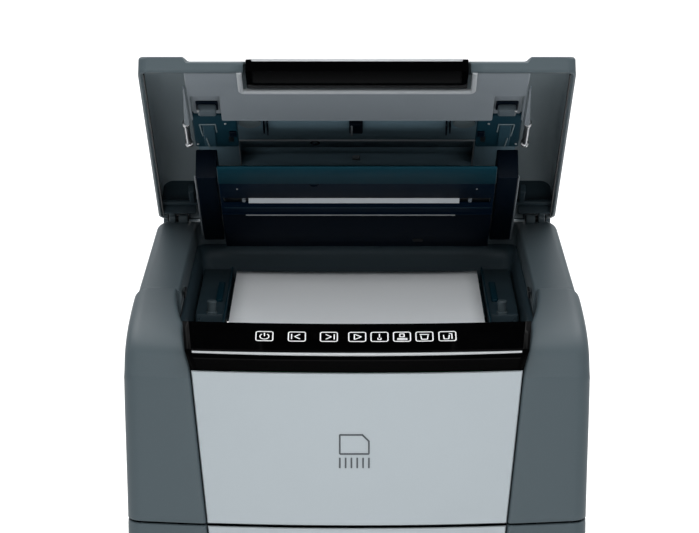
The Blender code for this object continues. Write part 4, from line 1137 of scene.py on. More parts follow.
@dataclass
class LidShell:
    """The domed lid moulding with its raised front corners, and the gloss inlay and lip on it."""

    length: float = 0.3120
    rear: float = -0.0020
    roof: tuple[Span, ...] = (
        (-0.0020, 0.0120), (0.0060, 0.0270), (0.0250, 0.0400), (0.0600, 0.0460), (0.1300, 0.0480),
        (0.2000, 0.0420), (0.2700, 0.0280), (0.3000, 0.0180), (0.3120, 0.0120))
    dip: float = 0.0046
    lip_half: float = 0.0855
    notch_half: float = 0.0875
    notch: float = 0.2700
    notch_side: float = 0.2350
    slot: Span = (0.1075, 0.1165)
    slot_half: float = 0.1140
    inlay_lift: float = 0.0019

    def crest(self, s: Array) -> Array:
        """Roof height at s, from a smooth curve through the roof points."""
        curve = smooth_curve(np.array(self.roof), 160)
        return np.interp(s, curve[:, 0], curve[:, 1])

    def lowered(self, s: Array, x: Array) -> Array:
        """Roof height at (s, x): between the corner blocks the front dips by the dip."""
        between = 1.0 - smooth_step(np.abs(x), 0.1310, 0.1345)
        return self.crest(s) - self.dip * smooth_step(s, 0.262, 0.300) * between

    def half(self, s: Array) -> Array:
        """Half-width at s: a straight taper with a quarter-circle corner at each end."""
        wide = 0.1730 - 0.016 * s
        for place, radius in ((s - self.rear, 0.0100), (self.length - s, 0.0065)):
            inside = np.clip(radius - place, 0.0, radius)
            wide = wide - (radius - np.sqrt(radius ** 2 - inside ** 2))
        return wide

    def shell(self) -> None:
        """The dome: a section of wall, corner round and roof carried from the rear to the front.

        A section at s has the wall at the half-width, a corner of radius up to 13 mm and the roof
        height of the crest. The end walls repeat the end section with its height held down to each
        of its own levels in turn.
        """
        ends = 0.008 * (1 - np.cos(np.linspace(0, QUARTER, 6)))
        s = stations(self.rear + ends, self.length - ends, np.linspace(0.010, 0.300, 48),
                     [0.0105, *self.slot, self.notch_side, self.notch])
        wide, height = self.half(s)[:, None], self.crest(s)[:, None]
        radius = np.minimum(0.0130, 0.75 * height) * (1 - 0.76 * smooth_step(s, 0.270, 0.310)[:, None])
        climb, turn = np.linspace(0, 1, 5)[:-1], np.linspace(0, QUARTER, 8)
        stops = np.array([0.1600, 0.1560, 0.1455, 0.1345, 0.1333, 0.1322, 0.1310, 0.1200, 0.1150, 0.1000,
                          0.0875, 0.0855, 0.0600, 0.0300])
        shares = np.linspace(0.996, 0.90, len(stops))
        flat_x = np.minimum(stops, (wide - radius) * np.where(stops > 0.134, shares, 1.0))
        flat_t = self.lowered(s[:, None], flat_x)
        right_x = np.hstack([np.repeat(wide, 4, 1), wide - radius * (1 - np.cos(turn)), flat_x])
        right_t = np.hstack([(height - radius) * climb, height - radius * (1 - np.sin(turn)), flat_t])
        middle = self.lowered(s, np.zeros_like(s))[:, None]
        x = np.hstack([-right_x, np.zeros_like(middle), right_x[:, ::-1]])
        t = np.hstack([right_t, middle, right_t[:, ::-1]])
        walls = 12
        front_t = np.minimum(t[-1], np.sort(right_t[-1, :walls])[-2::-1, None])
        rear_t = np.minimum(t[0], np.sort(right_t[0, :walls])[:-1, None])
        place = np.concatenate([np.full(len(rear_t), s[0]), s, np.full(len(front_t), s[-1])])
        x = np.vstack([np.repeat(x[:1], len(rear_t), 0), x, np.repeat(x[-1:], len(front_t), 0)])
        t = np.vstack([rear_t, t, front_t])
        grid = on_lid(x, place[:, None], t)
        mid_x, mid_t = np.abs(midpoints(x)), midpoints(t)
        mid_s = ((place[:-1] + place[1:]) / 2)[:, None]
        hole = (mid_x < self.notch_half) & (mid_s > self.notch)
        hole |= between(mid_x, self.lip_half, self.notch_half) & (mid_s > self.notch_side)
        hole |= (mid_x < 0.1150) & between(mid_s, *self.slot)
        hole |= between(mid_x, 0.1455, 0.1668) & (mid_s < 0.0105) & (mid_t < 0.0125)
        shell = sheet_mesh("lid_dome", grid[:, ::-1], SLATE, keep=~hole[:, ::-1], smooth=48)
        # The inner wall takes the lighter slate copy, painted light on the lid's shaded inside.
        shell.data.materials.append(SLATE_LIT_COPY.material())
        solid(shell, 0.0030).modifiers["wall"].material_offset = 1
        settle(shell, "lid", "slate_plastic", "lid_shell")

    def inlay(self) -> None:
        """The gloss inlay: it follows the roof 1.9 mm up, narrowing to the lip, with turned-down edges."""
        s = stations(np.linspace(0.0600, 0.2900, 40), self.slot)
        half = 0.1250 + (self.lip_half - 0.1250) * smooth_step(s, 0.195, 0.268)
        u = np.concatenate([[-1.0, -1.0], np.linspace(-0.985, 0.985, 33), [1.0, 1.0]])
        drop = np.concatenate([[0.0022, 0.0006], np.zeros(33), [0.0006, 0.0022]])
        x = half[:, None] * u[None]
        in_slot = between(s, 0.100, 0.124)
        x[in_slot, 2], x[in_slot, -3] = -self.slot_half, self.slot_half
        t = self.lowered(s[:, None], x) + self.inlay_lift - drop[None]
        t[0] -= 0.0016
        grid = on_lid(x, s[:, None], t)
        hole = (np.abs(midpoints(x)) < self.slot_half) & between((s[:-1] + s[1:]) / 2, *self.slot)[:, None]
        sheet = sheet_mesh("lid_gloss_inlay", grid[:, ::-1], GLOSS, keep=~hole[:, ::-1])
        settle(solid(sheet, 0.0014), "lid", "black_gloss", "lid_inlay")

    def lip(self) -> None:
        """The gloss lip in the front notch, a painted highlight bar along its edge, and the lifting rim round
        it in a lighter grey that paints its highlight.
        """
        back = np.linspace(0.3100, 0.2800, 6)
        top = np.column_stack([back, self.lowered(back, np.zeros(6)) + self.inlay_lift])
        section = np.vstack([[[0.2790, 0.0006], [0.2800, 0.0002], [0.3105, 0.0002], [0.3122, 0.0006],
                              [0.3130, 0.0018], [0.3130, 0.0090], [0.3122, 0.0104]], top, [[0.2790, 0.0200]]])
        centre = section.mean(axis=0)
        x = np.concatenate([[-1.0, -0.997], np.linspace(-0.99, 0.99, 25), [0.997, 1.0]]) * self.lip_half
        shrink = np.ones(len(x))
        shrink[[0, -1]], shrink[[1, -2]] = 0.955, 0.985
        flat = centre + (section - centre)[None] * shrink[:, None, None]
        rings = on_lid(x[:, None], flat[..., 0], flat[..., 1])
        settle(closed_loft("lid_gloss_lip", rings, GLOSS, 30), "lid", "black_gloss", "lid_lip")
        # The lip's bright edge is a painted highlight: a bar of the trim finish along the gloss lip.
        edge = lid_block("lip_painted_highlight", (-0.0812, 0.0812), (0.3116, 0.3136), (0.0082, 0.0108), BRIGHT_METAL_AND_HIGHLIGHT,
                         0.0010, 0.0007, 0)
        settle(edge, "lid", "silver_panel")
        turn = np.linspace(0, QUARTER, 7)
        bend = 0.0035
        side_x = 0.0905 - bend * (1 - np.cos(turn))
        side_s = 0.2738 + bend * (1 - np.sin(turn))
        right = np.column_stack([side_x, side_s, np.full(7, 0.0004)])
        path = [(0.0905, 0.3105, 0.0004), *map(tuple, right)]
        path += [(-x, s, t) for x, s, t in reversed(path)]
        # The rim's lighter grey is a painted highlight round the notch.
        rim = lid_tube("lip_rim", path, 0.0021, PALE_GREY_HIGHLIGHT, 90, 12)
        settle(rim, "lid", "grey_plastic")

    def rim_lines(self) -> None:
        """A dark groove just inside the side rims, and the lid's hinge eyes."""
        s = np.linspace(0.006, 0.306, 40)
        for side, sign in SIDES:
            line = np.column_stack([sign * (self.half(s) - 0.0044), s, np.full(len(s), 0.0006)])
            settle(lid_tube(f"rim_groove_{side}", line, 0.0008, BLACK_AND_SHADE, 40, 8), "lid", "slate_plastic")
            eye = [(0.0, 0.0), (0.0, 0.0052), (0.0008, 0.0062), (0.0052, 0.0062), (0.0060, 0.0052),
                   (0.0060, 0.0)]
            knuckle = turned_body(f"hinge_eye_{side}", eye, (sign * 0.1580, HINGE_Y, HINGE_Z),
                                  (sign * 0.1640, HINGE_Y, HINGE_Z), SLATE, 28)
            settle(knuckle, "lid", "slate_plastic")

    def build(self) -> None:
        """Builds the lid's outside."""
        self.shell()
        self.inlay()
        self.lip()
        self.rim_lines()


@dataclass
class LidWorks:
    """Inside of the lid: grey frame, catches, brackets, guide pins, ceiling, arms and sprung plate."""

    frame_front: float = 0.3090

    def frame(self) -> None:
        """The pale frame: a sheet with a window for each catch and an opening for the lip."""
        x = np.array([0.1330, 0.1310, 0.1078, 0.0905, 0.0600, 0.0300])
        x = np.concatenate([-x, [0.0], x[::-1]])
        s = np.array([0.2163, 0.2175, 0.2500, 0.2641, 0.2738, 0.2900, self.frame_front])
        grid = on_lid(x[None], s[:, None], np.array(0.0004))
        mid_x, mid_s = np.abs(x[:-1] + x[1:])[None] / 2, ((s[:-1] + s[1:]) / 2)[:, None]
        window = (mid_x > 0.1078) & (mid_x < 0.1310) & (mid_s < 0.2641)
        opening = (mid_x < 0.0905) & (mid_s > 0.2738)
        sheet = sheet_mesh("lid_inner_frame", grid, FRAME_GREY, keep=~(window | opening))
        settle(solid(sheet, 0.0024, 0.0005), "lid", "grey_plastic", "lid_frame")

    @staticmethod
    def stud(name: str, body: str, x: float, s: float, t: float, radius: float) -> None:
        """A small domed bright head that points down out of the lid."""
        turn = np.linspace(0, QUARTER, 6)
        profile = np.column_stack([radius * 0.7 * (1 - np.cos(turn)), radius * np.sin(turn)])
        profile = np.vstack([profile, [radius * 1.6, radius], [radius * 1.6, 0.0]])
        start, end = on_lid(np.full(2, x), np.full(2, s), np.array([t - radius * 0.7, t + radius]))
        settle(turned_body(name, profile, start, end, STEEL, 16), body, "steel")

    def studs(self, side: str, sign: float) -> None:
        """The bright stud on a catch, three screws in a bracket and one in the plate."""
        self.stud(f"latch_stud_{side}", "lid", sign * 0.1256, 0.2392, -0.0014, 0.0010)
        self.stud(f"plate_screw_{side}", "plate", sign * 0.0985, 0.1400, PLATE_T, 0.0008)
        for number, (x, s) in enumerate(((0.1060, 0.2010), (0.1020, 0.1800), (0.1300, 0.1590))):
            self.stud(f"bracket_screw_{side}_{number}", "lid", sign * x, s, 0.0040, 0.0010)

    def pins(self, side: str, sign: float) -> None:
        """One guide pin, waisted between two nuts, and the tapered blade in front of it.

        Args:
            side: Letter of the side, for names.
            sign: -1 on the left, 1 on the right.
        """
        nut, bar = 0.0034, 0.0024
        profile = [(0.0, 0.0), (0.0, nut * 0.8), (0.0008, nut), (0.0034, nut), (0.0040, bar),
                   (0.0075, bar * 0.92), (0.0210, bar), (0.0350, bar * 0.92), (0.0410, bar), (0.0416, nut),
                   (0.0442, nut), (0.0450, nut * 0.8), (0.0450, 0.0)]
        start, end = on_lid(np.full(2, sign * 0.1372), np.array([0.1600, 0.2050]), np.full(2, 0.0036))
        pin = turned_body(f"guide_pin_{side}", profile, start, end, STEEL, 24)
        settle(pin, "lid", "steel", f"spring_pin_{side}")
        blade = (0.2120, 0.2830)
        length = np.linspace(*blade, 9)
        width = np.interp(length, blade, (0.0025, 0.0006))
        middle = sign * np.interp(length, blade, (0.1358, 0.1345))
        corners = np.array([[-1, 0], [-0.7, -1], [0.7, -1], [1, 0], [0.7, 1], [-0.7, 1]])
        rings = on_lid(middle[:, None] + corners[None, :, 0] * width[:, None], length[:, None],
                       -0.0004 + corners[None, :, 1] * 0.0014)
        settle(closed_loft(f"lid_blade_{side}", rings, FRAME_GREY, 25), "lid", "grey_plastic")

    def roof_panel(self) -> None:
        """Ceiling panel, the pocket behind it, and the bosses and ribs on it."""
        s = np.array([0.0497, 0.0501, 0.0700, 0.0900, 0.1052, 0.1056, 0.1066, 0.1180, 0.1300, 0.1500])
        level = CEILING_T + np.array([0.0, 0.0105, 0.0080, 0.0050, 0.0025, 0.0, -0.0004, 0.0, 0.0, 0.0])
        x = np.array([0.1340, 0.1180, 0.0996, 0.0992, 0.0600, 0.0200])
        x = np.concatenate([-x, [0.0], x[::-1]])
        pocket = (np.abs(x) < 0.0994)[None]
        back = np.zeros((len(s) - 1, len(x) - 1), bool)
        back[:2, np.abs(x[:-1] + x[1:]) / 2 < 0.0990] = True
        grid = on_lid(x[None], s[:, None], np.where(pocket, level[:, None], CEILING_T))
        sheet = sheet_mesh("lid_ceiling", grid, CEILING, keep=~back, smooth=30)
        settle(solid(sheet, 0.0014), "lid", "teal_plastic", "lid_liner")
        settle(solid(sheet_mesh("pocket_back", grid, CEILING, keep=back, smooth=30), 0.0014), "lid",
               "teal_plastic")
        boss = [(0.0, 0.0), (0.0, 0.0082), (0.0006, 0.0092), (0.0030, 0.0092), (0.0030, 0.0)]
        for side, sign in SIDES:
            start, end = on_lid(np.full(2, sign * 0.0886), np.full(2, 0.1462),
                                np.array([CEILING_T - 0.0030, CEILING_T]))
            settle(turned_body(f"ceiling_boss_{side}", boss, start, end, PALE_BOSS_AND_HIGHLIGHT, 40), "lid",
                   "teal_plastic")
            for number, low in enumerate((0.0765, 0.0735)):
                rib = lid_block(f"ceiling_rib_{side}_{number}", (sign * low, sign * (low + 0.0012)),
                                (0.1330 - 0.004 * number, 0.1490), (CEILING_T - 0.0060, CEILING_T), DEEP_BLUE_AND_SHADE,
                                0.0004)
                settle(rib, "lid", "teal_plastic")

    @staticmethod
    def oval(name: str, body: str, x: float, s: float, t: float) -> None:
        """A raised ring, four times as wide as its bar."""
        turn = np.linspace(0, 2 * math.pi, 33)
        line = on_lid(x + 0.0034 * np.cos(turn), s + 0.0034 * np.sin(turn), np.full(33, t))
        settle(tube(name, line, 0.0006, DEEP_BLUE_AND_SHADE, 8), body, "teal_plastic")

    def plate(self) -> None:
        """The sprung plate: a beam at the front, a slotted middle with its bar, ledges and a flat rear.

        The underside is t(s), read from straight runs between stations, and the same for every x.
        """
        half = 0.1134
        station = np.array([0.0040, 0.0052, 0.0828, 0.0834, 0.0856, 0.0862, 0.0996, 0.1002, 0.1014, 0.1020,
                            0.1070, 0.1194, 0.1560, 0.1566, 0.1818, 0.1830])
        level = PLATE_T + np.array([0.0006, 0.0, 0.0, -0.0012, -0.0012, -0.0002, -0.0002, -0.0010, -0.0010,
                                    0.0,
                                   0.0, 0.0, 0.0, -0.0022, 0.0008, 0.0014])
        x = np.array([1.0, 0.996, 0.979, 0.780, 0.40])
        x = np.concatenate([-x, [0.0], x[::-1]]) * half
        t = level[:, None] + np.where(np.abs(x) > half * 0.998, 0.0006, 0.0)[None]
        mid_x, mid_s = np.abs(x[:-1] + x[1:])[None] / 2, ((station[:-1] + station[1:]) / 2)[:, None]
        slot = (mid_x < half * 0.979) & (mid_s > 0.1070) & (mid_s < 0.1194)
        front = mid_s > 0.1566
        rear = mid_s < 0.0830
        grid = on_lid(x[None], station[:, None], t)
        # One plate in three colours: the front beam takes a lighter copy as painted light, the flat rear the
        # near-black blue as painted shade, and the slotted middle the plate's own colour.
        for name, part, finish in (("sprung_plate", ~(slot | front | rear), PLATE), ("plate_beam", front
                                   & (mid_x < 1), PLATE_LIT_COPY), ("plate_rear", rear & (mid_x < 1), DEEP_BLUE_AND_SHADE)):
            sheet = sheet_mesh(name, grid, finish, keep=part, smooth=25)
            nodes = ("pressure_plate",) if name == "sprung_plate" else ()
            settle(solid(sheet, 0.0022), "plate", "teal_plastic", *nodes)
        wedge = np.array([[0.1178, -0.0262], [0.1178, -0.0270], [0.1136, -0.0300], [0.1128, -0.0300],
                          [0.1122, -0.0262], [0.1147, -0.0260]])
        span = np.linspace(-0.0900, 0.0850, 9)
        bar = closed_loft("paper_bar", on_lid(span[:, None], wedge[None, :, 0], wedge[None, :, 1]), BAR, 25)
        settle(bar, "plate", "steel", "guide_bar")

    def build(self) -> None:
        """Builds the lid's inside and the plate."""
        self.frame()
        self.roof_panel()
        self.plate()
        for part in MIDDLE_PARTS:
            part.place()
        for side, sign in SIDES:
            self.studs(side, sign)
            self.pins(side, sign)
            for part in SIDE_PARTS:
                part.place(side, sign)
        self.oval("pocket_oval", "lid", -0.0356, 0.0880, CEILING_T + 0.0046)
        self.oval("plate_oval", "plate", -0.0352, 0.1500, PLATE_T - 0.0003)


# ------------------------------------------------------------------ bin and cabinet
@dataclass
class PullOutBin:
    """Silver bin front with window and grip, the slate wings beside it, and the bucket behind."""

    top: float = 0.3985
    base: float = 0.0490
    window_rise: Span = (0.2000, 0.2320)
    window: Opening = ((0.0, 0.2160), (0.0720, 0.0180), 0.0100)
    grip: Opening = ((0.0, 0.3450), (0.0620, 0.0170), 0.0120)

    def panel(self) -> None:
        """The silver front with its rolled rim, its two openings and a bezel round each."""
        grid = panel_grid(self.base, self.top, lambda z: inner_edge(z) - PANEL_GAP, 240, 160, 0.0008)
        middle = midpoints(grid)
        open_here = np.zeros(middle.shape[:2], bool)
        for opening in (self.window, self.grip):
            open_here |= rounded_distance(middle[..., 0], middle[..., 2], *opening) < 0
        panel = sheet_mesh("bin_front_skin", grid, SILVER, keep=~open_here)
        settle(solid(panel, 0.0026), "bin", "silver_panel", "bin_panel")
        for name, (place, half, radius), finish in (("window_bezel", self.window, SLATE),
                                                    ("grip_bezel", self.grip, BLACK_AND_SHADE)):
            outline = rounded_ring(half[0] + 0.0004, half[1] + 0.0004, radius, 10) + np.array(place)
            bezel = tube(name, on_front(*even(np.vstack([outline, outline[:2]])).T, 0.0002), 0.0017, finish)
            settle(bezel, "bin", "slate_plastic")

    def glass(self) -> None:
        """The smoked window, a shallow curved sheet with a level scale on it."""
        place, half, _ = self.window
        x, z = np.meshgrid(np.linspace(-half[0], half[0], 60), np.linspace(-half[1], half[1], 20) + place[1])
        keep = rounded_distance(midpoints(x), midpoints(z), *self.window) < 0
        pane = sheet_mesh("smoked_pane", on_front(x, z, 0.0012), SMOKED, keep=keep)
        settle(solid(pane, 0.0016), "bin", "window", "bin_window")
        for number in range(5):
            end, z = 0.0625 if number % 2 else 0.0650, 0.2040 + 0.0060 * number
            path = on_front(*even([(0.0580, z), (end, z)]).T, 0.0009)
            settle(tube(f"level_tick_{number}", path, 0.0004, INK, 8), "bin", "paper")

    def pocket(self) -> None:
        """The grip: an oval bowl sunk into the front, with a finger bar under its upper edge."""
        place, half, radius = self.grip
        shrink = np.array([0.0, 0.0004, 0.0010, 0.0024, 0.0050, 0.0110, 0.0160])
        depth = np.array([0.0004, 0.0040, 0.0080, 0.0100, 0.0112, 0.0114, 0.0114])
        rings = []
        for inset, sink in zip(shrink, depth):
            ring = rounded_ring(half[0] - inset, half[1] - inset, max(radius - inset, 0.0006), 10)
            rings.append(on_front(*(ring + np.array(place)).T, sink))
        bowl = sheet_mesh("grip_bowl", np.array(rings)[:, ::-1], BLACK_AND_SHADE, wrap=True)
        settle(solid(bowl, 0.0014), "bin", "black_gloss", "bin_grip")
        x = np.linspace(-0.0540, 0.0540, 41)
        turn = np.linspace(0, 2 * math.pi, 14, endpoint=False)
        swell = 1 - 0.55 * smooth_step(np.abs(x), 0.046, 0.0540)
        rings = np.stack([np.broadcast_to(x[:, None], (41, 14)),
                          (front_y(np.array(0.357)) + bow_of(x) + 0.0046)[:, None] + 0.0040 * swell[:, None]
                          * np.cos(turn), 0.3572 + 0.0030 * swell[:, None] * np.sin(turn)], axis=-1)
        settle(closed_loft("grip_bar", rings, SILVER), "bin", "silver_panel")

    def wing(self, side: str, sign: float) -> None:
        """A slate front corner: return, soft inner lip, bowed face, corner round and flat side.

        Args:
            side: Letter of the side, for names.
            sign: -1 on the left, 1 on the right.
        """
        z = np.concatenate([[self.base, self.base + 0.0006], np.linspace(self.base + 0.004,
                                                                         self.top - 0.004, 30),
                            [self.top - 0.0006, self.top]])
        roll = np.zeros(len(z))
        roll[[0, -1]], roll[[1, -2]] = 0.0016, 0.0004
        half = 0.1760
        x, flat = corner_section(inner_edge(z), np.full(len(z), half))
        y = front_y(z)[:, None] + bow_of(x) + flat[None] + roll[:, None]
        x = np.hstack([x, np.full((len(z), 2), half)])
        y = np.hstack([y, np.tile([-0.1560, -0.1486], (len(z), 1))])
        x = x - (roll * 0.6)[:, None] * (np.arange(x.shape[1]) > 20)[None]
        grid = np.stack([x * sign, y, np.broadcast_to(z[:, None], x.shape)], axis=-1)
        wing = sheet_mesh(f"bin_wing_{side}", grid[:, ::-1] if sign < 0 else grid, SLATE)
        settle(solid(wing, 0.0022, 0.0002), "bin", "slate_plastic", f"bin_side_{side}")

    def bucket(self) -> None:
        """The open bucket: drafted round-cornered walls with a rolled rim and an opening at the window."""
        outline = rounded_ring(0.1640, 0.1630, 0.0180, 8)
        dense = even(np.vstack([outline, outline[:1]]))[:-1:2]
        level = np.array([0.0486, 0.0490, 0.0520, 0.1000, 0.1500, *self.window_rise, 0.3000, 0.3750, 0.3790,
                          0.3835, 0.3850, 0.3845])
        grow = np.array([-0.0400, -0.0080, -0.0042, -0.0036, -0.0030, -0.0024, -0.0020, -0.0012, -0.0004, 0.0,
                         0.0004, 0.0014, 0.0022])
        away = dense[None] + np.clip(dense / 0.1440, -1.0, 1.0)[None] * grow[:, None, None]
        grid = np.stack([away[..., 0], away[..., 1] + 0.0050,
                         np.broadcast_to(level[:, None], away.shape[:2])],
                        axis=-1)
        closed = np.concatenate([grid, grid[:, :1]], axis=1)
        middle = midpoints(closed)
        opening = ((middle[..., 1] < -0.1500) & (np.abs(middle[..., 0]) < 0.0700)
                   & between(middle[..., 2], *self.window_rise))
        # The bucket takes the darker slate copy as painted shade.
        bucket = sheet_mesh("bin_bucket_skin", closed, SLATE_SHADED_COPY, keep=~opening)
        settle(solid(bucket, 0.0022), "bin", "slate_plastic", "bin_bucket")
        floor = soft_block("bin_bucket_floor", (-0.1300, -0.1240, 0.0486), (0.1300, 0.1340, 0.0508),
                           SLATE_SHADED_COPY, 0.0006, 0.0180)
        settle(floor, "bin", "slate_plastic")
        for number in range(5):
            x = -0.1000 + 0.0500 * number
            rib = soft_block(f"bucket_rib_{number}", (x - 0.0012, -0.1200, 0.0505),
                             (x + 0.0012, 0.1300, 0.0530), SLATE_SHADED_COPY, 0.0006)
            settle(rib, "bin", "slate_plastic")

    def build(self) -> None:
        """Builds the bin."""
        self.panel()
        self.glass()
        self.pocket()
        for side, sign in SIDES:
            self.wing(side, sign)
        self.bucket()


@dataclass
class Cabinet:
    """Cabinet walls in one U-shaped moulding, base plate, cutter deck and castors."""

    base: float = 0.0484
    top: float = 0.3996
    grooves: Span = (0.0612, 0.3892)

    def walls(self) -> None:
        """Sides and back: the head's own plan outline with a shallow sunk field on each side.

        The wall is drawn in by up to 1.2 mm inside a round-cornered field, and by 0.8 mm along a
        groove under the seam and one above the base.
        """
        plan = HeadCasing(start_y=-0.1480)
        places = stations(np.linspace(0, 0.35, 60), np.linspace(0.35, 0.43, 9), np.linspace(0.43, 0.57, 61),
                          np.linspace(0.57, 0.65, 9), np.linspace(0.65, 1.0, 60), digits=6)
        beside = np.array([-0.0012, -0.0006, 0.0006, 0.0012])
        z = stations(np.linspace(self.base, self.top, 60), *(level + beside for level in self.grooves),
                     0.0700 + np.linspace(0, 0.004, 4), 0.3780 - np.linspace(0, 0.004, 4))
        flat = plan.plan(plan.half, plan.rear, plan.corner, places)
        inner = plan.plan(plan.half - 0.0100, plan.rear - 0.0100, plan.corner * 0.55, places)
        direction = (inner - flat) / np.linalg.norm(inner - flat, axis=1)[:, None]
        direction[[0, -1], 1] = 0.0
        y = np.broadcast_to(flat[:, 1], (len(z), len(flat)))
        height = np.broadcast_to(z[:, None], y.shape)
        on_side = np.broadcast_to(np.abs(flat[:, 0]) > plan.half - 0.0005, y.shape)
        field = rounded_distance(y, height, (-0.0080, 0.2240), (0.1260, 0.1480), 0.0220)
        rear_field = rounded_distance(np.broadcast_to(flat[:, 0], y.shape), height, (0.0, 0.2240),
                                      (0.1340, 0.1480), 0.0220)
        sunk = 0.0012 * (1 - smooth_step(field, -0.003, 0.0)) * on_side
        sunk = sunk + 0.0012 * (1 - smooth_step(rear_field, -0.003, 0.0)) * (y > plan.rear - 0.0005)
        groove = (np.abs(z[:, None] - np.array(self.grooves)) < 0.0008).any(axis=1)[:, None] * 0.0008
        moved = flat[None] + direction[None] * (sunk + groove)[..., None]
        grid = np.concatenate([moved, height[..., None]], axis=-1)
        walls = sheet_mesh("cabinet_walls", grid[:, ::-1], SLATE, smooth=50)
        settle(solid(walls, 0.0028), "body", "slate_plastic", "cabinet_side_l", "cabinet_side_r",
               "cabinet_back")

    def plates(self) -> None:
        """Base plate with its round corners, and the deck under the cutters."""
        base = soft_block("cabinet_floor", (-0.1740, -0.1640, 0.0450), (0.1740, 0.1838, 0.0480), SLATE,
                          0.0009, 0.0200)
        settle(base, "body", "slate_plastic", "base_plate")
        settle(softened_copy("cutter_deck", "cutter_deck_plate", SLATE_SHADED_COPY, 0.0003), "body", "slate_plastic")

    def castor(self, corner: str, x: float, y: float) -> None:
        """One castor: pressed fork, domed cap, grooved tyre and dished hub with its axle nut.

        Args:
            corner: Row and side, for names.
            x: Swivel axis, across.
            y: Swivel axis, front to rear.
        """
        fork = softened_copy(f"castor_fork_{corner}", f"castor_fork_pressed_{corner}", STEEL, 0.0006)
        settle(fork, f"castor_{corner}", "steel")
        cap = np.array([[0.0, 0.0], [0.0, 0.0105], [0.0006, 0.0112], [0.0014, 0.0108], [0.0020, 0.0085],
                        [0.0022, 0.0]])
        settle(turned_body(f"castor_race_{corner}", cap, (x, y, 0.0424), (x, y, 0.0446), STEEL, 40),
               f"castor_{corner}", "steel")
        wheel_y, radius = y + 0.0100, 0.0180
        turn = np.linspace(0, QUARTER, 6)
        shoulder = np.column_stack([0.0030 * (1 - np.sin(turn)), radius - 0.0030 * (1 - np.cos(turn))])[::-1]
        tread = np.array([[0.0066, radius], [0.0070, radius - 0.0007], [0.0080, radius - 0.0007],
                          [0.0084, radius]])
        right = shoulder * [-1, 1] + [0.0200, 0.0]
        profile = np.vstack([[[0.0004, 0.0118]], shoulder[np.argsort(shoulder[:, 0])], tread,
                             tread + [0.0050, 0.0], right[np.argsort(right[:, 0])],
                             [[0.0196, 0.0118], [0.0004, 0.0118]]])
        start, end = (x - 0.0100, wheel_y, radius), (x + 0.0100, wheel_y, radius)
        tyre = turned_body(f"castor_tyre_{corner}", profile, start, end, RUBBER, 64)
        settle(tyre, f"wheel_{corner}", "rubber", f"castor_wheel_{corner}")
        hub = np.array([[0.0010, 0.0032], [0.0010, 0.0060], [0.0026, 0.0075], [0.0026, 0.0100],
                        [0.0008, 0.0112],
                        [0.0004, 0.0119], [0.0196, 0.0119], [0.0192, 0.0112], [0.0174, 0.0100],
                        [0.0174, 0.0075], [0.0190, 0.0060], [0.0190, 0.0032], [0.0010, 0.0032]])
        settle(turned_body(f"castor_hub_{corner}", hub, start, end, FRAME_GREY, 48), f"wheel_{corner}",
               "rubber")

    def build(self) -> None:
        """Builds the cabinet and castors."""
        self.walls()
        self.plates()
        for row, sign_y in (("front", -1.0), ("rear", 1.0)):
            for side, sign in SIDES:
                self.castor(f"{row}_{side}", sign * 0.1400, sign_y * 0.1400)


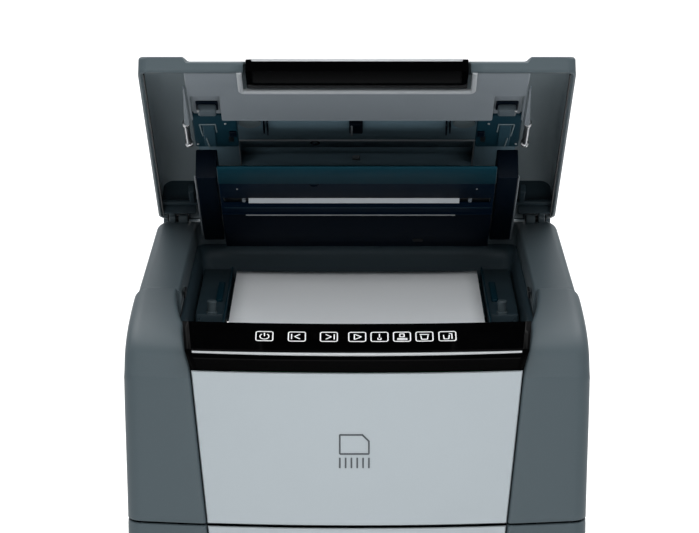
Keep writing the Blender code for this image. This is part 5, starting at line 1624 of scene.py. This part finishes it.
# ------------------------------------------------------------------ drive
@dataclass
class Drive:
    """Cutters, feed rollers, gear train, motor and end plates."""

    level: float = 0.4400
    nip: float = 0.0200
    spacing: float = 0.0360
    discs: int = 12
    pitch: float = 0.0180
    teeth: int = 7

    def cutter(self, letter: str, place: float, shift: float, hand: float) -> None:
        """One cutter: a shaft whose bands are split into thin toothed blades.

        In each band the radius alternates between blade and spacer, and each blade's radius falls
        like a saw over each of seven teeth, stepped round a little from blade to blade.

        Args:
            letter: Which cutter, for names.
            place: Its axis, front to rear.
            shift: How far its blades are moved across, to mesh with the other cutter.
            hand: Which way its teeth lean.
        """
        x, radius, blade = [-0.1290, -0.1290, -0.1200, -0.1200], [0.0, 0.0040, 0.0040, 0.0125], [0, 0, 0, 0]
        half = self.pitch / 4 - 0.0005
        for disc in range(self.discs):
            middle = (disc - (self.discs - 1) / 2) * self.pitch + shift
            for number in range(3):
                low = middle - half + number * 0.0028
                x += [low, low, low + 0.0022, low + 0.0022]
                radius += [0.0125, 0.0220, 0.0220, 0.0125]
                blade += [0, disc * 3 + number + 1, disc * 3 + number + 1, 0]
        x += [0.1200, 0.1200, 0.1530, 0.1530]
        radius += [0.0125, 0.0040, 0.0040, 0.0]
        blade += [0, 0, 0, 0]
        turn = np.linspace(0, 2 * math.pi, 85, endpoint=False)
        number = np.array(blade)[:, None]
        saw = np.mod(hand * turn[None] * self.teeth / (2 * math.pi) + number * 0.27, 1.0)
        size = np.array(radius)[:, None] - np.where(number > 0, 0.0022 * saw, 0.0)
        grid = about_x(x, size, turn, place, self.level)
        drum = sheet_mesh(f"cutter_drum_{letter}", grid, DARK_STEEL, wrap=True, smooth=25)
        settle(drum, f"cutter_drum_{letter}", "steel", f"cutter_{letter}")
        gear = softened_copy(f"cutter_gear_{letter}", f"cutter_wheel_{letter}", DARK_STEEL, 0.00025)
        settle(gear, f"cutter_drum_{letter}", "steel")

    def roller(self, letter: str, sign: float) -> None:
        """One feed roller: its shaft and gear, with three fluted rubber tyres pulled over it."""
        rise = math.sqrt(0.045 ** 2 - 0.012 ** 2)
        y, z = self.nip + sign * 0.0300, self.level + rise
        core = softened_copy(f"feed_roller_{letter}", f"roller_core_{letter}", RUBBER, 0.0002)
        settle(core, f"roller_{letter}", "rubber")
        turn = np.linspace(0, 2 * math.pi, 96, endpoint=False)
        for number in range(3):
            middle = (number - 1) * 0.070
            x = middle + np.array([-0.0201, -0.0201, -0.0190, 0.0190, 0.0201, 0.0201])
            size = np.array([0.0110, 0.0118, 0.0122, 0.0122, 0.0118, 0.0110])[:, None]
            size = size - 0.00035 * (np.cos(24 * turn) < 0)[None] * (size > 0.0115)
            tyre = sheet_mesh(f"feed_tyre_{letter}_{number}", about_x(x, size, turn, y, z), RUBBER,
                              wrap=True, smooth=20)
            settle(tyre, f"roller_{letter}", "rubber")

    def motor(self) -> None:
        """The motor: a can with rolled ends, cooling grooves, end bell and terminal block."""
        ring = np.array([[0.0, 0.0], [0.0, 0.0090], [0.0030, 0.0095], [0.0036, 0.0230], [0.0050, 0.0278],
                         [0.0080, 0.0290], [0.0180, 0.0290], [0.0186, 0.0283], [0.0206, 0.0283],
                         [0.0212, 0.0290]])
        grooves = np.vstack([[[0.0300 + 0.0060 * k, 0.0290], [0.0306 + 0.0060 * k, 0.0280],
                              [0.0324 + 0.0060 * k, 0.0280], [0.0330 + 0.0060 * k,
                                                              0.0290]] for k in range(7)])
        tail = np.array([[0.0780, 0.0290], [0.0786, 0.0283], [0.0806, 0.0283], [0.0812, 0.0290],
                         [0.0900, 0.0290], [0.0940, 0.0276], [0.0956, 0.0240], [0.0960, 0.0]])
        can = turned_body("motor_can", np.vstack([ring, grooves, tail]), (0.0200, 0.1190, self.level),
                          (0.1160, 0.1190, self.level), DARK_STEEL, 64, 30)
        settle(can, "body", "steel", "motor")
        block = soft_block("motor_terminals", (0.0215, 0.1110, 0.4670), (0.0330, 0.1270, 0.4730), BLACK_AND_SHADE)
        settle(block, "body", "steel")

    def build(self) -> None:
        """Builds the drive."""
        for index, letter in enumerate("ab"):
            place = self.nip + (index - 0.5) * self.spacing
            self.cutter(letter, place, (index - 0.5) * self.pitch / 2, 1.0 - 2.0 * index)
            self.roller(letter, 2.0 * index - 1.0)
            idler = softened_copy(f"feed_idler_{letter}", f"feed_idler_wheel_{letter}", NYLON, 0.00025)
            settle(idler, f"feed_idler_{letter}", "nylon")
        settle(softened_copy("idler_gear", "idler_wheel", NYLON, 0.00025), "idler", "nylon")
        settle(softened_copy("motor_pinion", "pinion_wheel", STEEL, 0.00025), "pinion", "steel")
        self.motor()
        for side, _ in SIDES:
            settle(softened_copy(f"end_plate_{side}", f"bearing_plate_{side}", STEEL, 0.0004), "body",
                   "steel")


@dataclass
class Electrics:
    """Mains inlet with its contacts, the rocker with its marks, and the touch board."""

    rear: float = REAR_Y

    def inlet(self) -> None:
        """The inlet shroud, a raised flange round it and three flat contacts."""
        settle(softened_copy("mains_inlet", "inlet_shroud", BLACK_AND_SHADE, 0.0006), "body", "black_gloss")
        outline = rounded_ring(0.0146, 0.0121, 0.0030, 8)
        line = even(np.vstack([outline, outline[:2]]))
        grid = np.stack([0.0650 + line[:, 0], np.full(len(line), self.rear + 0.0002), 0.4425 + line[:, 1]],
                        axis=-1)
        settle(tube("inlet_flange", grid, 0.0012, BLACK_AND_SHADE, 8), "body", "black_gloss")
        for number, (x, z) in enumerate(((0.0590, 0.4400), (0.0650, 0.4455), (0.0710, 0.4400))):
            pin = soft_block(f"inlet_contact_{number}", (x - 0.0010, 0.1705, z - 0.0021),
                             (x + 0.0010, 0.1800, z + 0.0021), STEEL, 0.0004)
            settle(pin, "body", "steel")

    def rocker(self) -> None:
        """The rocker with a line and a ring moulded on its two ends."""
        settle(softened_copy("rocker_switch", "rocker_key", BLACK_AND_SHADE, 0.0008), "rocker", "black_gloss")
        turn = np.linspace(0, 2 * math.pi, 25)
        ring = np.stack([0.1010 + 0.0018 * np.cos(turn), np.full(25, self.rear - 0.0011),
                         0.4370 + 0.0018 * np.sin(turn)], axis=-1)
        settle(tube("rocker_ring", ring, 0.00025, INK, 8), "rocker", "black_gloss")
        z = np.linspace(0.4462, 0.4502, 4)
        line = np.stack([np.full(4, 0.1010), np.full(4, self.rear - 0.0011), z], axis=-1)
        settle(tube("rocker_line", line, 0.00025, INK, 8), "rocker", "black_gloss")

    def board(self) -> None:
        """The touch board with a controller chip, a connector and a row of small parts."""
        settle(softened_copy("control_board", "touch_board", BOARD, 0.0002), "body", "circuit_board")
        for name, low, high, finish in (
                ("board_chip", (-0.0080, -0.1660, 0.5197), (0.0080, -0.1530, 0.5215), BLACK_AND_SHADE),
                ("board_socket", (0.0560, -0.1660, 0.5197), (0.0780, -0.1540, 0.5245), NYLON)):
            settle(soft_block(name, low, high, finish, 0.0003, 0.0004), "body", "circuit_board")
        for number in range(12):
            x = -0.0850 + 0.0060 * number
            part = soft_block(f"board_part_{number:02d}", (x, -0.1600, 0.5197), (x + 0.0030, -0.1584, 0.5206),
                              NYLON if number % 3 else BLACK_AND_SHADE, 0.0002, 0.0003)
            settle(part, "body", "circuit_board")

    def build(self) -> None:
        """Builds the electrics."""
        self.inlet()
        self.rocker()
        self.board()


# ------------------------------------------------------------------ studio
@dataclass
class Studio:
    """Pale floor, soft lights and the camera at the usual catalogue angle."""

    camera_place: Point = (0.0, -2.0933, 1.1163)
    pitch: float = 75.0
    lens: float = 137.4
    shift: float = -0.0107
    lamps: tuple[tuple[str, Point, Point, Span, float], ...] = (
        ("key_left", (-1.9, -1.5, 1.7), (0.0, 0.0, 0.50), (1.2, 1.6), 5.4),
        ("key_right", (1.9, -1.5, 1.7), (0.0, 0.0, 0.50), (1.2, 1.6), 4.9),
        ("high_front", (0.0, -1.9, 2.3), (0.0, -0.1, 0.55), (1.2, 0.7), 23.0),
        ("top", (0.0, 0.5, 2.5), (0.0, 0.0, 0.50), (2.2, 1.2), 25.0),
        ("low_front", (0.0, -2.7, 0.14), (0.0, 0.0, 0.60), (2.2, 0.24), 13.0),
        ("floor_wash", (0.0, 3.2, 3.4), (0.0, 3.2, 0.0), (7.0, 3.0), 210.0))

    def backdrop(self) -> None:
        """A wide pale floor that dips a little towards its far edge."""
        reach = np.linspace(-9.0, 9.0, 13)
        x, y = np.meshgrid(reach, reach)
        grid = np.stack([x, y, -0.0005 * (x ** 2 + y ** 2)], axis=-1)
        floor = Finish("studio_floor", (0.92, 0.92, 0.92), 0.85, 0.0, Grain.FIBRE, 0.00001, 300.0)
        sheet_mesh("backdrop", grid, floor)

    def lamp(self, name: str, place: Point, aim: Point,
             size: Span, power: float) -> None:
        """An area light turned towards a point.

        Args:
            name: Lamp name.
            place: Where it stands.
            aim: The point that it faces.
            size: Its width and height.
            power: Its power in watts.
        """
        data = bpy.data.lights.new(name, "AREA")
        data.shape = "RECTANGLE"
        data.size, data.size_y = size
        data.energy = power
        lamp = bpy.data.objects.new(name, data)
        bpy.context.scene.collection.objects.link(lamp)
        lamp.location = place
        lamp.rotation_euler = (Vector(aim) - Vector(place)).to_track_quat("-Z", "Y").to_euler()

    def build(self) -> None:
        """Builds backdrop, lights, world and camera."""
        self.backdrop()
        for lamp in self.lamps:
            self.lamp(*lamp)
        world = bpy.data.worlds.new("studio")
        world.use_nodes = True
        sky = world.node_tree.nodes["Background"].inputs
        sky["Color"].default_value, sky["Strength"].default_value = (0.95, 0.97, 1.0, 1.0), 0.50
        bpy.context.scene.world = world
        bpy.context.scene.view_settings.view_transform = "Standard"
        data = bpy.data.cameras.new("camera")
        data.lens, data.sensor_width, data.shift_x = self.lens, 36.0, self.shift
        camera = bpy.data.objects.new("camera", data)
        bpy.context.scene.collection.objects.link(camera)
        camera.location = self.camera_place
        camera.rotation_euler = (math.radians(self.pitch), 0.0, 0.0)
        bpy.context.scene.camera = camera


CARRIED = {BLACK_AND_SHADE: ("hinge_pin_l", "hinge_pin_r")}


def dress_carried_nodes() -> None:
    """Gives each CAD node that stays in view its procedural finish."""
    for finish, names in CARRIED.items():
        for name in names:
            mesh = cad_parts[name].data
            mesh.materials.clear()
            mesh.materials.append(finish.material())


def main() -> None:
    """Builds every sub-assembly in order."""
    dress_carried_nodes()
    for assembly in (HeadCasing(), FrontPanels(), PaperTray(), LidShell(), LidWorks(), PullOutBin(),
                     Cabinet(), Drive(), Electrics(), Studio()):
        LOG.info("building %s", type(assembly).__name__)
        assembly.build()


if __name__ == "__main__":
    logging.basicConfig(level=logging.INFO, format="%(message)s")
    main()
